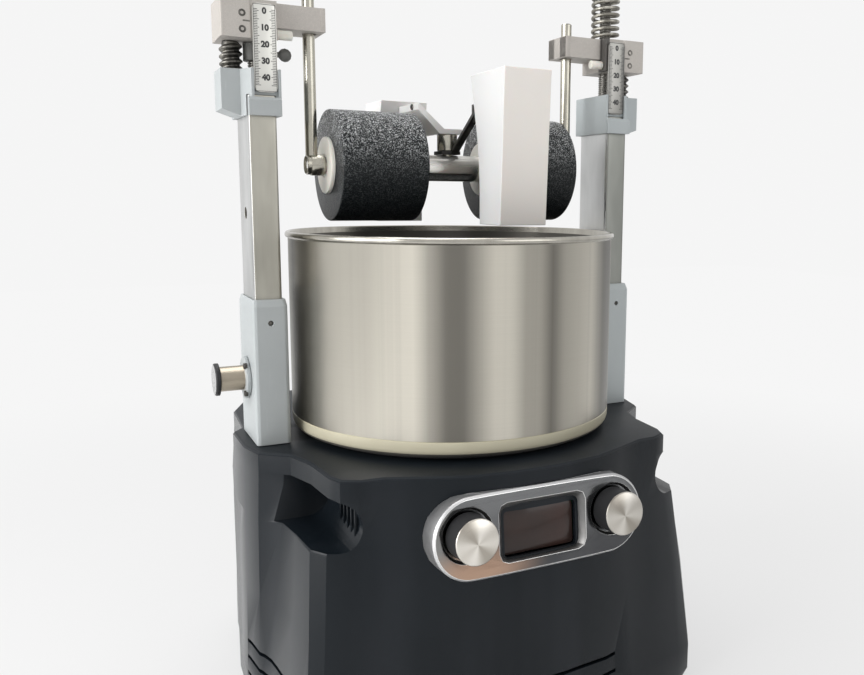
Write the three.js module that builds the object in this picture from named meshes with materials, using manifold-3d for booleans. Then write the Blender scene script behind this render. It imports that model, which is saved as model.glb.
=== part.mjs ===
// Bench-top chocolate melanger: a stainless bowl with a granite base stone turns on a moulded base, and
// two granite rollers hang into it from a carriage that springs hold down on a lifting gantry.
// Millimetres, Z up, drawn round the axis of the bowl with 0 at the underside of the base pan, and set
// down at the end with the middle of its footprint at the origin. The control panel faces -Y, and the
// two posts of the gantry stand on the left (-X) and the right (+X).
import * as THREE from 'three';
import { mergeVertices } from 'three/addons/utils/BufferGeometryUtils.js';
import Module from 'manifold-3d';

const wasm = await Module();
wasm.setup();

// Shared clearances
const fit = 0.3;                  // gap between two pieces that seat on each other
const slide = 0.35;               // gap round a piece that slides or turns
const overrun = 6;                // how far a cutter passes the face it cuts
const weld = 0.0001;              // corners closer than this are one corner

// Base
const baseHeight = 185;
const baseHalfWidth = 156.5;
const baseFrontDepth = 145;
const baseBackDepth = 158;
const housingWall = 3;
const deckEdge = 1.6;             // bevel round the deck
const lipThickness = 13.5;        // deck lip above each hand grip
const gripHeight = 30;            // stadium-shaped hand grip, open at the corner
const gripReach = 51;             // how far a grip reaches in from the widest part of the base
const gripBack = 40;              // rear end of a grip, in front of the bowl axis
const ventHeight = 2.4;
const ventPitch = 11.5;
const ventLowest = 25;
const ventCount = 3;
const frontVentHalf = 58;
const sideVentFrom = 10;
const sideVentTo = 98;
const panThickness = 2;
const panSeat = 5;                // how far the pan stays inside the housing wall
const footRadius = 13;
const footHeight = 4;
const footPlugRadius = 5;

// Bowl, base stone and turntable
const bowlRadius = 116;
const bowlHeight = 137.5;
const bowlSheet = 1.2;
const bowlCorner = 11;
const rimBead = 2;                // how far the rolled rim stands out
const rimBeadHeight = 4.6;
const stoneThickness = 31.4;
const stoneGap = 1.2;
const turntableRadius = 107;
const turntableThickness = 1.6;
const turntableLift = 0.6;
const bowlNutRadius = 12;
const bowlNutHeight = 8;
const studThreadRadius = 5;

// Drive under the deck
const spindleRadius = 8;
const hubRadius = 22;
const bearingRadius = 16;
const bearingHeight = 42;         // double-row unit
const bearingHousingRadius = 21;
const bearingHousingDrop = 58;
const bearingFlangeRadius = 34;
const bearingFlangeHeight = 6;
const pulleyHeight = 14;
const pulleyDrop = 107;           // underside of the pulleys below the deck
const pulleyApart = 27;           // room between the faces of the two pulleys
const motorPulleyRadius = 13;
const motorSetIn = 64;            // motor axis in front of the back of the base
const motorRadius = 38;
const motorHeight = 70;
const motorShaftRadius = 4;
const bracketThickness = 4;
const bracketHalfWidth = 58;
const bracketLegRadius = 5;
const bracketDepth = 76;
const beltThickness = 2.4;
const beltWidth = 10;

// Control panel. Its own frame: origin at the middle of its face, y into the base, leaning back.
const panelWidth = 147;
const panelHeight = 52;
const panelRecess = 3.5;          // middle of the face behind the foremost edge of the skirt
const panelDrop = 35.7;           // middle of the face below the deck
const panelLean = 4.55;           // how far the top of the face stands behind its foot
const panelDepth = 30;            // blank that the housing trims behind
const panelBevel = 1.4;
const windowWidth = 61;
const windowHeight = 37;
const windowCorner = 6;
const windowDepth = 7;
const displayWidth = 50;
const displayHeight = 28;
const displayDrop = 2.6;          // display below the middle of the window
const displayThickness = 2;
const knobSpacing = 102;
const knobRise = 2.5;             // knob axes above the middle of the face
const knobRadius = 13.8;
const knobLength = 16.2;
const knobStand = 0.9;            // gap between a knob and the dish behind it
const dishRadius = 17;
const dishDepth = 3;
const knobShaftRadius = 3;
const potRadius = 8;
const potLength = 6;
const boardThickness = 1.6;
const boardWidth = 122;
const boardHeight = 38;
const boardSetback = 24;          // board behind the face

// Mains inlet
const inletWidth = 48;
const inletHeight = 27;
const inletDepth = 22;
const inletCentre = 40;
const inletFlange = 3;
const inletSlotWidth = 26;
const inletSlotHeight = 18;
const inletSlotDepth = 16;

// Posts and gantry. Local frame of a post: its axis at 0, outboard positive.
const gantrySetback = 8;          // post and axle plane behind the bowl axis
const postReach = 135;            // post axis from the bowl axis
const tubeWidth = 18;
const tubeDepth = 40;
const tubeWall = 2;
const tubeCorner = 2.5;
const sleeveWidth = 22.6;
const sleeveDepth = 50;
const sleeveHeight = 97;
const sleeveChamfer = 4.5;
const liftTravel = 110;
const capWidth = 23.4;
const capDepth = 44.6;
const capHeight = 29;
const capClear = 7;               // head above sleeve when the gantry is right down
const socketDepth = 13;
const bossReach = 23.6;
const bossDepth = 25;
const bossTaper = 4;
const tabWidth = 20.4;
const tabHeight = 11.5;
const tabStand = 1.9;
const scaleWidth = 14.6;
const scaleThickness = 1.5;
const scaleLength = 54;
const scaleOffset = -2.6;         // scale centre, inboard of the post axis
const scaleSeat = 3;
const studRadius = 4.5;
const stopScrewRadius = 7.2;
const stopScrewReach = 14.8;      // stop screw axis outboard of the post axis
const boreBlind = 2.4;            // metal left under the blind bores of a head
const stopGap = 18.2;             // head top to slider bottom
const sliderHeight = 23.8;
const sliderFront = 19.7;
const sliderBack = 15;
const sliderReach = 23.7;
const sliderCheek = 5;            // where the outboard block of a slider begins
const sliderInboard = 11;
const sliderEdge = 1.5;
const armHeight = 15;
const armHalfDepth = 13;
const armReach = 43.5;
const rodInboard = 35.5;          // rod axis inboard of the post axis
const rodRadius = 4;
const rodProud = 11;              // rod above its arm
const springWire = 2.7;
const springOuter = 22.4;
const springTurns = 10.6;
const springLength = 56;
const crossBarThickness = 12;
const crossBarDepth = 26;
const crossBarWaist = 18;
const crossBarEdge = 2;
const crossBarEnd = 15;
const screwHeadRadius = 13;
const screwHeadHeight = 14;
const thumbRadius = 3.1;
const thumbLength = 10;
const thumbForward = 13;
const thumbStemRadius = 1.5;
const collarHeight = 11;
const ballRadius = 4.4;
const ballReach = 19.5;
const ballStemRadius = 1.8;

// Lock plunger on the left sleeve
const plungerHeight = 42.5;       // plunger axis above the deck
const pinRadius = 3.6;
const plungerFlangeWidth = 31;
const plungerFlangeHeight = 29;
const plungerFlangeThickness = 2.8;
const plungerBarrelRadius = 8.4;
const plungerBarrelLength = 15.5;
const plungerKnobRadius = 10.9;
const plungerKnobLength = 3.2;

// Rollers, axle and scrapers
const rollerRadius = 37.7;
const rollerInner = 28.4;
const rollerWidth = 59.8;
const rollerEdge = 1;
const rollerBore = 15.3;
const rollerRest = 7.1;           // lowest point of a roller above the rim, gantry up
const hubFlangeRadius = 19.2;
const hubFlange = 2.5;
const hubBush = 26;
const axleRadius = 5.5;
const axleMiddleRadius = 9.4;
const eyeRadius = 7.1;
const eyeLength = 11;
const eyeTip = 3;
const eyeTipRadius = 6.5;
const bracketFoot = 2.5;
const bracketFootHalf = 7.3;
const bracketNutHeight = 11.5;
const bracketPinRadius = 3.7;
const bracketPinDepth = 5;
const strutSize = 5;
const strapThickness = 3.5;
const strapHalfWidth = 8.8;
const strapReach = 25;            // how far the raised arm of the strap comes from the bowl axis
const strapRise = 16;
const padWidth = 14;
const padHeight = 12;
const padThickness = 5;
const scraperRest = 5.6;          // lowest point of a scraper above the rim, gantry up
const frontScraperHeight = 102.4;
const rearScraperHeight = 88.6;
const frontScraperWidth = 35;
const rearScraperWidth = 36;
const scraperInner = 6;           // scraper flank beside the bowl axis
const rearScraperInner = 3;
const scraperClear = 4;           // scraper in front of its roller
const scraperRun = 32;            // depth of the scraper foot
const scraperLean = 5.5;
const rearScraperRun = 20;
const scraperBevel = 1.5;

// Heights that follow from the sizes above
const gripLow = baseHeight - lipThickness - gripHeight;
const turntableLow = baseHeight + turntableLift;
const bowlLow = turntableLow + turntableThickness + fit;
const rimTop = bowlLow + bowlHeight;
const stoneLow = bowlLow + bowlSheet + fit;
const axleHeight = rimTop + rollerRest + rollerRadius;
const sleeveTop = baseHeight + sleeveHeight;
const capLow = sleeveTop + capClear + liftTravel;
const capTop = capLow + capHeight;
const sliderLow = capTop + stopGap;
const sliderTop = sliderLow + sliderHeight;
const springLow = sliderTop + fit;
const crossBarLow = springLow + springLength + fit;
const crossBarTop = crossBarLow + crossBarThickness;
const tubeTop = capLow + socketDepth - fit;
const tubeLow = baseHeight + sleeveHeight / 5;
const deckUnder = baseHeight - housingWall;
const panelFace = baseFrontDepth - panelRecess;
const panelCentre = baseHeight - panelDrop;
const panelTilt = Math.atan2(panelLean, panelHeight);
const motorOffset = baseBackDepth - motorSetIn;
const drivenPulleyRadius = motorOffset - motorPulleyRadius - pulleyApart;
const pulleyLow = baseHeight - pulleyDrop;
const pulleyTop = pulleyLow + pulleyHeight;
const sliderShoulder = sliderTop - armHeight;

const finishes = {
  housing: new THREE.MeshStandardMaterial({ color: 0x2a2d33, roughness: 0.5, metalness: 0 }),
  rubber: new THREE.MeshStandardMaterial({ color: 0x151515, roughness: 0.9, metalness: 0 }),
  steel: new THREE.MeshStandardMaterial({ color: 0xb9b7b0, roughness: 0.32, metalness: 1 }),
  brightSteel: new THREE.MeshStandardMaterial({ color: 0xd2d0ca, roughness: 0.15, metalness: 1 }),
  darkSteel: new THREE.MeshStandardMaterial({ color: 0x4a4946, roughness: 0.4, metalness: 1 }),
  paint: new THREE.MeshStandardMaterial({ color: 0xa9b3b8, roughness: 0.45, metalness: 0.2 }),
  blasted: new THREE.MeshStandardMaterial({ color: 0xb3aea6, roughness: 0.6, metalness: 0.6 }),
  granite: new THREE.MeshStandardMaterial({ color: 0x2c2f31, roughness: 0.7, metalness: 0 }),
  acetal: new THREE.MeshStandardMaterial({ color: 0xe4e0d8, roughness: 0.45, metalness: 0 }),
  black: new THREE.MeshStandardMaterial({ color: 0x18181a, roughness: 0.5, metalness: 0 }),
  smoked: new THREE.MeshStandardMaterial({ color: 0x2a1c18, roughness: 0.1, metalness: 0 }),
  board: new THREE.MeshStandardMaterial({ color: 0x1f5b34, roughness: 0.6, metalness: 0 }),
  castIron: new THREE.MeshStandardMaterial({ color: 0x55585a, roughness: 0.6, metalness: 0.7 }),
};

// Solids and their operations
function solid(geometry) {
  const bare = geometry.clone();
  bare.deleteAttribute('normal');
  bare.deleteAttribute('uv');
  const merged = mergeVertices(bare, weld);
  const place = merged.attributes.position;
  const corners = [];
  let volume = 0;
  const [a, b, c] = [new THREE.Vector3(), new THREE.Vector3(), new THREE.Vector3()];
  for (let i = 0; i < merged.index.count; i += 3) {
    const [p, q, r] = [0, 1, 2].map((k) => merged.index.getX(i + k));
    if (p === q || q === r || r === p) continue;
    corners.push(p, q, r);
    a.fromBufferAttribute(place, p);
    b.fromBufferAttribute(place, q);
    c.fromBufferAttribute(place, r);
    volume += a.dot(b.cross(c));
  }
  if (volume < 0) corners.reverse();
  return new wasm.Manifold(new wasm.Mesh({
    numProp: 3,
    vertProperties: Float32Array.from(place.array),
    triVerts: Uint32Array.from(corners),
  }));
}

const join = (first, ...others) => others.reduce((whole, other) => whole.add(other), first);
const cut = (first, ...others) => others.reduce((whole, other) => whole.subtract(other), first);
const ordered = (a, b) => (a < b ? [a, b] : [b, a]);

function block(xs, ys, zs) {
  const [[x0, x1], [y0, y1], [z0, z1]] = [ordered(...xs), ordered(...ys), ordered(...zs)];
  const geometry = new THREE.BoxGeometry(x1 - x0, y1 - y0, z1 - z0);
  return solid(geometry.translate((x0 + x1) / 2, (y0 + y1) / 2, (z0 + z1) / 2));
}

// A profile of [radius, height] turned about an axis through centre, along x, y or z
function turned(profile, segments, axis = 'z', centre = [0, 0, 0]) {
  const geometry = new THREE.LatheGeometry(profile.map(([r, h]) => new THREE.Vector2(r, h)), segments);
  if (axis === 'z') geometry.rotateX(Math.PI / 2);
  if (axis === 'x') geometry.rotateZ(-Math.PI / 2);
  return solid(geometry.translate(...centre));
}

const disc = (radius, [low, high], segments, axis, centre) => turned(
  [[0, low], [radius, low], [radius, high], [0, high]], segments, axis, centre);

const collar = (inner, outer, [low, high], segments, axis, centre) => turned(
  [[inner, low], [outer, low], [outer, high], [inner, high], [inner, low]], segments, axis, centre);

const winding = (outline) => Math.sign(THREE.ShapeUtils.area(outline.map(([x, y]) => ({ x, y }))));

// Rings of points, one above the other, skinned and capped
function loft(given) {
  const rings = given.map((ring) => (winding(given[0]) < 0 ? ring.slice().reverse() : ring));
  const count = rings[0].length;
  const positions = rings.flat().flat();
  const index = [];
  rings.slice(1).forEach((ring, level) => {
    for (let i = 0; i < count; i += 1) {
      const [a, b] = [level * count + i, level * count + ((i + 1) % count)];
      index.push(a, b, b + count, a, b + count, a + count);
    }
  });
  const cap = (ring, start, flip) => {
    const outline = ring.map(([x, y]) => new THREE.Vector2(x, y));
    THREE.ShapeUtils.triangulateShape(outline, []).forEach(([a, b, c]) => {
      index.push(start + a, start + (flip ? c : b), start + (flip ? b : c));
    });
  };
  cap(rings[0], 0, true);
  cap(rings[rings.length - 1], (rings.length - 1) * count, false);
  const geometry = new THREE.BufferGeometry();
  geometry.setAttribute('position', new THREE.Float32BufferAttribute(positions, 3));
  geometry.setIndex(index);
  return solid(geometry);
}

function roundedOutline(width, depth, corner, steps = 2) {
  const points = [];
  [[1, -1], [1, 1], [-1, 1], [-1, -1]].forEach(([sx, sy], quarter) => {
    for (let i = 0; i <= steps; i += 1) {
      const turn = (quarter - 1 + i / steps) * Math.PI / 2;
      points.push([sx * (width / 2 - corner) + corner * Math.cos(turn),
        sy * (depth / 2 - corner) + corner * Math.sin(turn)]);
    }
  });
  return points;
}

const atHeight = (outline, z) => outline.map(([x, y]) => [x, y, z]);
const bar = (outline, [low, high]) => loft([atHeight(outline, low), atHeight(outline, high)]);

// An outline of [x, y] run along z, of [y, z] along x, or of [x, z] along y
function prism(outline, [low, high], axis = 'z') {
  const body = bar(outline, axis === 'y' ? [-high, -low] : [low, high]);
  const geometry = shapeOf(body);
  const turn = new THREE.Matrix4();
  if (axis === 'x') turn.set(0, 0, 1, 0, 1, 0, 0, 0, 0, 1, 0, 0, 0, 0, 0, 1);
  if (axis === 'y') turn.set(1, 0, 0, 0, 0, 0, -1, 0, 0, 1, 0, 0, 0, 0, 0, 1);
  geometry.applyMatrix4(turn);
  return axis === 'z' ? body : solid(geometry);
}

function shapeOf(body) {
  const mesh = body.getMesh();
  const geometry = new THREE.BufferGeometry();
  geometry.setAttribute('position', new THREE.BufferAttribute(mesh.vertProperties, 3));
  geometry.setIndex(new THREE.BufferAttribute(mesh.triVerts, 1));
  return geometry;
}

function add(parent, name, body, finish) {
  const geometry = shapeOf(body);
  geometry.computeVertexNormals();
  const mesh = new THREE.Mesh(geometry, finish);
  mesh.name = name;
  parent.add(mesh);
  return mesh;
}

// A line of the base outline drawn in by a distance, corner by corner
function drawnIn(outline, distance) {
  const count = outline.length;
  const way = winding(outline);
  return outline.map(([x, y], i) => {
    const before = outline[(i + count - 1) % count];
    const after = outline[(i + 1) % count];
    const normals = [[before, [x, y]], [[x, y], after]].map(([from, to]) => {
      const [dx, dy] = [to[0] - from[0], to[1] - from[1]];
      const length = Math.hypot(dx, dy);
      return [-dy / length, dx / length];
    });
    const sum = [normals[0][0] + normals[1][0], normals[0][1] + normals[1][1]];
    const reach = 2 * way * distance / (sum[0] ** 2 + sum[1] ** 2);
    return [x + sum[0] * reach, y + sum[1] * reach];
  });
}

// Right half of the base outline from front to back, as shares of its half width and of its front or
// back depth: the flat front, the corner lobe over the grip, the side, the ear round the post, the rear
const deckShares = [[0.089, -0.941], [0.294, -0.912], [0.441, -0.848], [0.588, -0.779], [0.677, -0.772],
  [0.748, -0.731], [0.773, -0.662], [0.792, -0.455], [0.837, -0.297], [0.949, -0.200],
  [0.981, -0.055], [0.984, 0.190], [0.933, 0.253], [0.914, 0.582], [0.850, 0.734],
  [0.716, 0.873], [0.383, 0.949]];
const shoulderShares = [[0.089, -0.962], [0.300, -0.932], [0.447, -0.872], [0.607, -0.807], [0.728, -0.772],
  [0.805, -0.731], [0.850, -0.655], [0.863, -0.469], [0.882, -0.317], [0.958, -0.207],
  [0.987, -0.062], [0.990, 0.196], [0.946, 0.272], [0.927, 0.595], [0.869, 0.747],
  [0.728, 0.892], [0.390, 0.962]];
const waistShares = [[0.096, -0.979], [0.313, -0.952], [0.460, -0.903], [0.626, -0.848], [0.757, -0.824],
  [0.831, -0.783], [0.877, -0.721], [0.891, -0.500], [0.914, -0.303], [0.962, -0.200],
  [0.990, -0.062], [0.990, 0.196], [0.946, 0.304], [0.920, 0.608], [0.869, 0.766],
  [0.748, 0.905], [0.396, 0.978]];
const skirtShares = [[0.096, -1.000], [0.319, -0.979], [0.473, -0.945], [0.639, -0.890], [0.780, -0.862],
  [0.863, -0.828], [0.907, -0.766], [0.939, -0.552], [0.958, -0.317], [0.981, -0.234],
  [1.000, -0.069], [0.990, 0.190], [0.952, 0.316], [0.927, 0.620], [0.879, 0.785],
  [0.760, 0.924], [0.409, 1.000]];
// How high each outline stands, as a share of the base height, from the sole up
const levelShares = [[skirtShares, 0], [skirtShares, 0.05], [skirtShares, 0.15], [waistShares, 0.475],
  [shoulderShares, 0.757], [deckShares, 0.93], [deckShares, 1]];
const soleShare = 0.975;          // the sole is drawn in under the skirt

function baseOutline(shares, share = 1) {
  const half = shares.map(([x, y]) => [
    x * baseHalfWidth * share, y * (y < 0 ? baseFrontDepth : baseBackDepth) * share]);
  return [...half, ...half.map(([x, y]) => [-x, y]).reverse()];
}

function baseSolid(distance, low, high) {
  const rings = levelShares.map(([shares, share], i) => {
    const outline = drawnIn(baseOutline(shares, i === 0 ? soleShare : 1), distance);
    return atHeight(outline, i === 0 ? low : share * baseHeight);
  });
  const top = rings.pop().map(([x, y]) => [x, y]);
  const edge = distance ? 0 : deckEdge;
  rings.push(atHeight(top, high - deckEdge));
  rings.push(atHeight(edge ? drawnIn(top, edge) : top, high));
  return loft(rings);
}

const gripEnd = baseHalfWidth - gripReach;
function gripPocket(side, grow) {
  const radius = gripHeight / 2 + grow;
  const middle = gripLow + gripHeight / 2;
  const centre = side * (gripEnd + gripHeight / 2);
  const ys = [-baseFrontDepth - overrun, -gripBack + grow];
  const round = disc(radius, [0, ys[1] - ys[0]], 24, 'y', [centre, ys[0], middle]);
  const open = block([centre, side * (baseHalfWidth + overrun)], ys, [middle - radius, middle + radius]);
  return join(round, open);
}

const sides = [['left', -1], ['right', 1]];
const postPlace = (side) => [side * postReach, gantrySetback];

function moved(outline, [dx, dy]) {
  return outline.map(([x, y]) => [x + dx, y + dy]);
}

// Base: moulded housing, pan and feet
function makeBase(root) {
  let housing = baseSolid(0, 0, baseHeight);
  let cavity = baseSolid(housingWall, -overrun, deckUnder);
  sides.forEach(([, side]) => {
    cavity = cut(cavity, gripPocket(side, housingWall));
    housing = cut(housing, gripPocket(side, 0));
  });
  housing = cut(housing, cavity);
  sides.forEach(([, side]) => {
    const slot = roundedOutline(tubeWidth + 4 * slide, tubeDepth + 4 * slide, tubeCorner);
    housing = cut(housing, bar(moved(slot, postPlace(side)), [deckUnder - overrun, baseHeight + overrun]));
  });
  for (let i = 0; i < ventCount; i += 1) {
    const zs = [ventLowest + i * ventPitch, ventLowest + i * ventPitch + ventHeight];
    const front = [-baseFrontDepth - overrun, -baseFrontDepth + 4 * housingWall];
    housing = cut(housing, block([-frontVentHalf, frontVentHalf], front, zs));
    sides.forEach(([, side]) => {
      const flank = [side * (baseHalfWidth - 9 * housingWall), side * (baseHalfWidth + overrun)];
      housing = cut(housing, block(flank, [-sideVentTo, -sideVentFrom], zs));
    });
    const rear = [baseBackDepth - 5 * housingWall, baseBackDepth + overrun];
    housing = cut(housing, block([inletWidth, 2 * inletWidth], rear, zs));
  }
  const [dx, dz] = [inletWidth / 2 + fit, inletHeight / 2 + fit];
  const inletHole = block([-dx, dx], [baseBackDepth - 5 * housingWall, baseBackDepth + overrun],
    [inletCentre - dz, inletCentre + dz]);
  const boreRadius = hubRadius + slide;
  const deckBore = disc(boreRadius, [deckUnder - overrun, baseHeight + overrun], 40);
  housing = cut(housing, inletHole, deckBore, carried(panelBores(-overrun, fit), panelPlace));
  add(root, 'base_housing', housing, finishes.housing);

  const panOutline = drawnIn(baseOutline(skirtShares, soleShare), panSeat);
  let pan = bar(panOutline, [0, panThickness]);
  const feet = footPlaces();
  feet.forEach(([x, y]) => {
    pan = cut(pan, disc(footPlugRadius + fit, [-overrun, overrun], 12, 'z', [x, y, 0]));
  });
  add(root, 'base_pan', pan, finishes.steel);
  feet.forEach(([x, y], i) => {
    const foot = turned([[0, -footHeight], [footRadius - 1.2 * fit, -footHeight],
      [footRadius, -footHeight + 4 * fit], [footRadius, -fit], [footPlugRadius, -fit],
      [footPlugRadius, panThickness + footHeight], [0, panThickness + footHeight]], 12);
    const mesh = add(root, `foot_${['front_left', 'front_right', 'rear_left', 'rear_right'][i]}`,
      foot, finishes.rubber);
    mesh.position.set(x, y, 0);
  });
}

function footPlaces() {
  const [x, front, back] = [0.62 * baseHalfWidth, -0.66 * baseFrontDepth, 0.7 * baseBackDepth];
  return [[-x, front], [x, front], [-x, back], [x, back]];
}

// Turntable, spindle, bearings, belt drive and motor
function makeDrive(root) {
  const hubLow = deckUnder - housingWall;
  const plate = turned([[studThreadRadius + fit, hubLow], [hubRadius, hubLow], [hubRadius, turntableLow],
    [turntableRadius, turntableLow], [turntableRadius, turntableLow + turntableThickness],
    [studThreadRadius + fit, turntableLow + turntableThickness], [studThreadRadius + fit, hubLow]], 36);
  const nutLow = stoneLow + stoneThickness / 2;
  add(root, 'turntable', plate, finishes.black);

  const housingLow = deckUnder - bearingHousingDrop;
  const spindle = turned([[0, pulleyLow - overrun], [spindleRadius, pulleyLow - overrun],
    [spindleRadius, hubLow - fit], [studThreadRadius, hubLow - fit],
    [studThreadRadius, nutLow + bowlNutHeight], [0, nutLow + bowlNutHeight]], 24);
  add(root, 'spindle', spindle, finishes.darkSteel);

  const flangeTop = deckUnder - fit;
  const innerBore = bearingRadius + fit;
  const seat = turned([[innerBore, housingLow], [bearingHousingRadius, housingLow],
    [bearingHousingRadius, flangeTop - bearingFlangeHeight],
    [bearingFlangeRadius, flangeTop - bearingFlangeHeight], [bearingFlangeRadius, flangeTop],
    [hubRadius + 2 * slide, flangeTop], [hubRadius + 2 * slide, hubLow - bearingFlangeHeight],
    [innerBore, hubLow - bearingFlangeHeight], [innerBore, housingLow]], 18);
  add(root, 'bearing_housing', seat, finishes.castIron);
  const bearingTop = hubLow - bearingFlangeHeight;
  const bearing = collar(spindleRadius + fit, bearingRadius, [bearingTop - bearingHeight, bearingTop], 24);
  add(root, 'spindle_bearing', bearing, finishes.brightSteel);

  const grooved = (radius, bore) => {
    const flange = radius + 2 * beltThickness;
    const rim = (pulleyHeight - beltWidth - 2 * fit) / 2;
    return turned([[bore, pulleyLow], [flange, pulleyLow], [flange, pulleyLow + rim],
      [radius, pulleyLow + rim], [radius, pulleyTop - rim], [flange, pulleyTop - rim],
      [flange, pulleyTop], [bore, pulleyTop], [bore, pulleyLow]], radius > bearingRadius ? 28 : 16);
  };
  add(root, 'driven_pulley', grooved(drivenPulleyRadius, spindleRadius + fit), finishes.castIron);
  const small = add(root, 'motor_pulley', grooved(motorPulleyRadius, motorShaftRadius + fit), finishes.steel);
  small.position.set(0, motorOffset, 0);

  // The belt follows both pulleys and the two straight runs between them
  const run = (gap) => {
    const [big, little] = [drivenPulleyRadius + gap, motorPulleyRadius + gap];
    const tilt = Math.asin((big - little) / motorOffset);
    const points = [];
    const arc = (radius, y, from, to, steps) => {
      for (let i = 0; i <= steps; i += 1) {
        const turn = from + (to - from) * i / steps;
        points.push([radius * Math.cos(turn), y + radius * Math.sin(turn)]);
      }
    };
    arc(big, 0, Math.PI - tilt, 2 * Math.PI + tilt, 26);
    arc(little, motorOffset, tilt, Math.PI - tilt, 10);
    return points;
  };
  const beltLow = pulleyLow + (pulleyHeight - beltWidth) / 2;
  const belt = cut(bar(run(fit + beltThickness), [beltLow, beltLow + beltWidth]),
    bar(run(fit), [beltLow - overrun, beltLow + beltWidth + overrun]));
  add(root, 'drive_belt', belt, finishes.rubber);

  const plateLow = pulleyTop + bracketThickness;
  const plateTop = plateLow + bracketThickness;
  const motorGroup = new THREE.Group();
  motorGroup.position.set(0, motorOffset, 0);
  root.add(motorGroup);
  const shaftHole = 3 * motorShaftRadius;
  const spigot = [2.4 * motorShaftRadius, plateTop - bracketThickness / 2];
  const motor = turned([[0, pulleyLow + fit], [motorShaftRadius, pulleyLow + fit],
    [motorShaftRadius, spigot[1]], spigot, [spigot[0], plateTop + fit], [motorRadius, plateTop + fit],
    [motorRadius, plateTop + motorHeight - motorShaftRadius],
    [motorRadius - motorShaftRadius, plateTop + motorHeight], [0, plateTop + motorHeight]], 20);
  add(motorGroup, 'motor', motor, finishes.castIron);
  let bracket = block([-bracketHalfWidth, bracketHalfWidth], [-bracketDepth / 2, bracketDepth / 2],
    [plateLow, plateTop]);
  bracket = cut(bracket, disc(shaftHole, [plateLow - overrun, plateTop + overrun], 24));
  [[-1, -1], [1, -1], [-1, 1], [1, 1]].forEach(([sx, sy]) => {
    const place = [sx * (bracketHalfWidth - 2 * bracketLegRadius),
      sy * (bracketDepth / 2 - 2 * bracketLegRadius), 0];
    const leg = disc(bracketLegRadius, [panThickness + fit, plateLow + fit], 10, 'z', place);
    bracket = join(bracket, leg);
  });
  add(motorGroup, 'motor_bracket', bracket, finishes.steel);
}

// Control panel, display, knobs and board
function stadium(width, height, steps = 9) {
  const radius = height / 2;
  const points = [];
  [[1, -Math.PI / 2], [-1, Math.PI / 2]].forEach(([sx, start]) => {
    for (let i = 0; i <= steps; i += 1) {
      const turn = start + Math.PI * i / steps;
      points.push([sx * (width / 2 - radius) + radius * Math.cos(turn), radius * Math.sin(turn)]);
    }
  });
  return points;
}

const panelPlace = new THREE.Matrix4().makeRotationX(-panelTilt).setPosition(0, -panelFace, panelCentre);
const carried = (body, matrix) => solid(shapeOf(body).applyMatrix4(matrix));

// Outlines of [x, z] in the plane of the panel, each at its depth behind the face
function panelLoft(levels) {
  const rings = levels.map(([outline, behind]) => atHeight(outline, -behind));
  return carried(loft(rings.reverse()), new THREE.Matrix4().makeRotationX(Math.PI / 2));
}

const displayOutline = (grow) => roundedOutline(displayWidth + 2 * grow, displayHeight + 2 * grow,
  windowCorner / 3).map(([x, z]) => [x, z - displayDrop]);

function panelBores(from, grow) {
  const window = panelLoft([[displayOutline(grow), from], [displayOutline(grow), panelDepth + overrun]]);
  const shafts = sides.map(([, side]) => disc(knobShaftRadius + slide, [from, panelDepth + overrun], 16, 'y',
    [side * knobSpacing / 2, 0, knobRise]));
  return join(window, ...shafts);
}

function makePanel(root) {
  const group = new THREE.Group();
  group.applyMatrix4(panelPlace);
  root.add(group);
  const behind = baseSolid(-fit, -overrun, baseHeight + overrun);
  let panel = panelLoft([[stadium(panelWidth - 2 * panelBevel, panelHeight - 2 * panelBevel), 0],
    [stadium(panelWidth, panelHeight), panelBevel], [stadium(panelWidth, panelHeight), panelDepth]]);
  const frame = roundedOutline(windowWidth + 2 * fit, windowHeight + 2 * fit, windowCorner);
  const taper = panelLoft([[frame, -fit], [displayOutline(0), windowDepth]]);
  panel = cut(panel, taper, panelBores(0, 0), carried(behind, panelPlace.clone().invert()));
  sides.forEach(([, side]) => {
    const dish = [[0, -overrun], [dishRadius, -overrun], [dishRadius, 0],
      [dishRadius - dishDepth / 2, dishDepth], [0, dishDepth]];
    panel = cut(panel, turned(dish, 24, 'y', [side * knobSpacing / 2, 0, knobRise]));
  });
  add(group, 'control_panel', panel, finishes.brightSteel);

  const displayFace = windowDepth + fit;
  const display = panelLoft([[displayOutline(-fit), displayFace],
    [displayOutline(-fit), displayFace + displayThickness]]);
  add(group, 'display_window', display, finishes.smoked);

  const board = block([-boardWidth / 2, boardWidth / 2], [boardSetback, boardSetback + boardThickness],
    [-boardHeight / 2, boardHeight / 2]);
  const [moduleFace, moduleBack] = [displayFace + displayThickness + fit, boardSetback + fit];
  const module = panelLoft([[displayOutline(-slide), moduleFace], [displayOutline(-slide), moduleBack]]);
  const behindKnobs = (radius, depths) => sides.map(([, side]) => disc(radius, depths, 14, 'y',
    [side * knobSpacing / 2, boardSetback, knobRise]));
  const pots = behindKnobs(potRadius, [-potLength, fit]);
  const holes = behindKnobs(knobShaftRadius + slide, [-potLength - fit, boardThickness + potLength]);
  add(group, 'control_board', cut(join(board, module, ...pots), ...holes), finishes.board);

  sides.forEach(([name, side]) => {
    const face = knobLength - dishDepth + knobStand;
    const knob = turned([[0, -face], [knobRadius - 4 * fit, -face], [knobRadius, -face + 4 * fit],
      [knobRadius, dishDepth - knobStand], [knobShaftRadius, dishDepth - knobStand],
      [knobShaftRadius, boardSetback - fit], [0, boardSetback - fit]], 20, 'y');
    add(group, `knob_${name}`, knob, finishes.brightSteel).position.set(side * knobSpacing / 2, 0, knobRise);
  });
}

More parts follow.
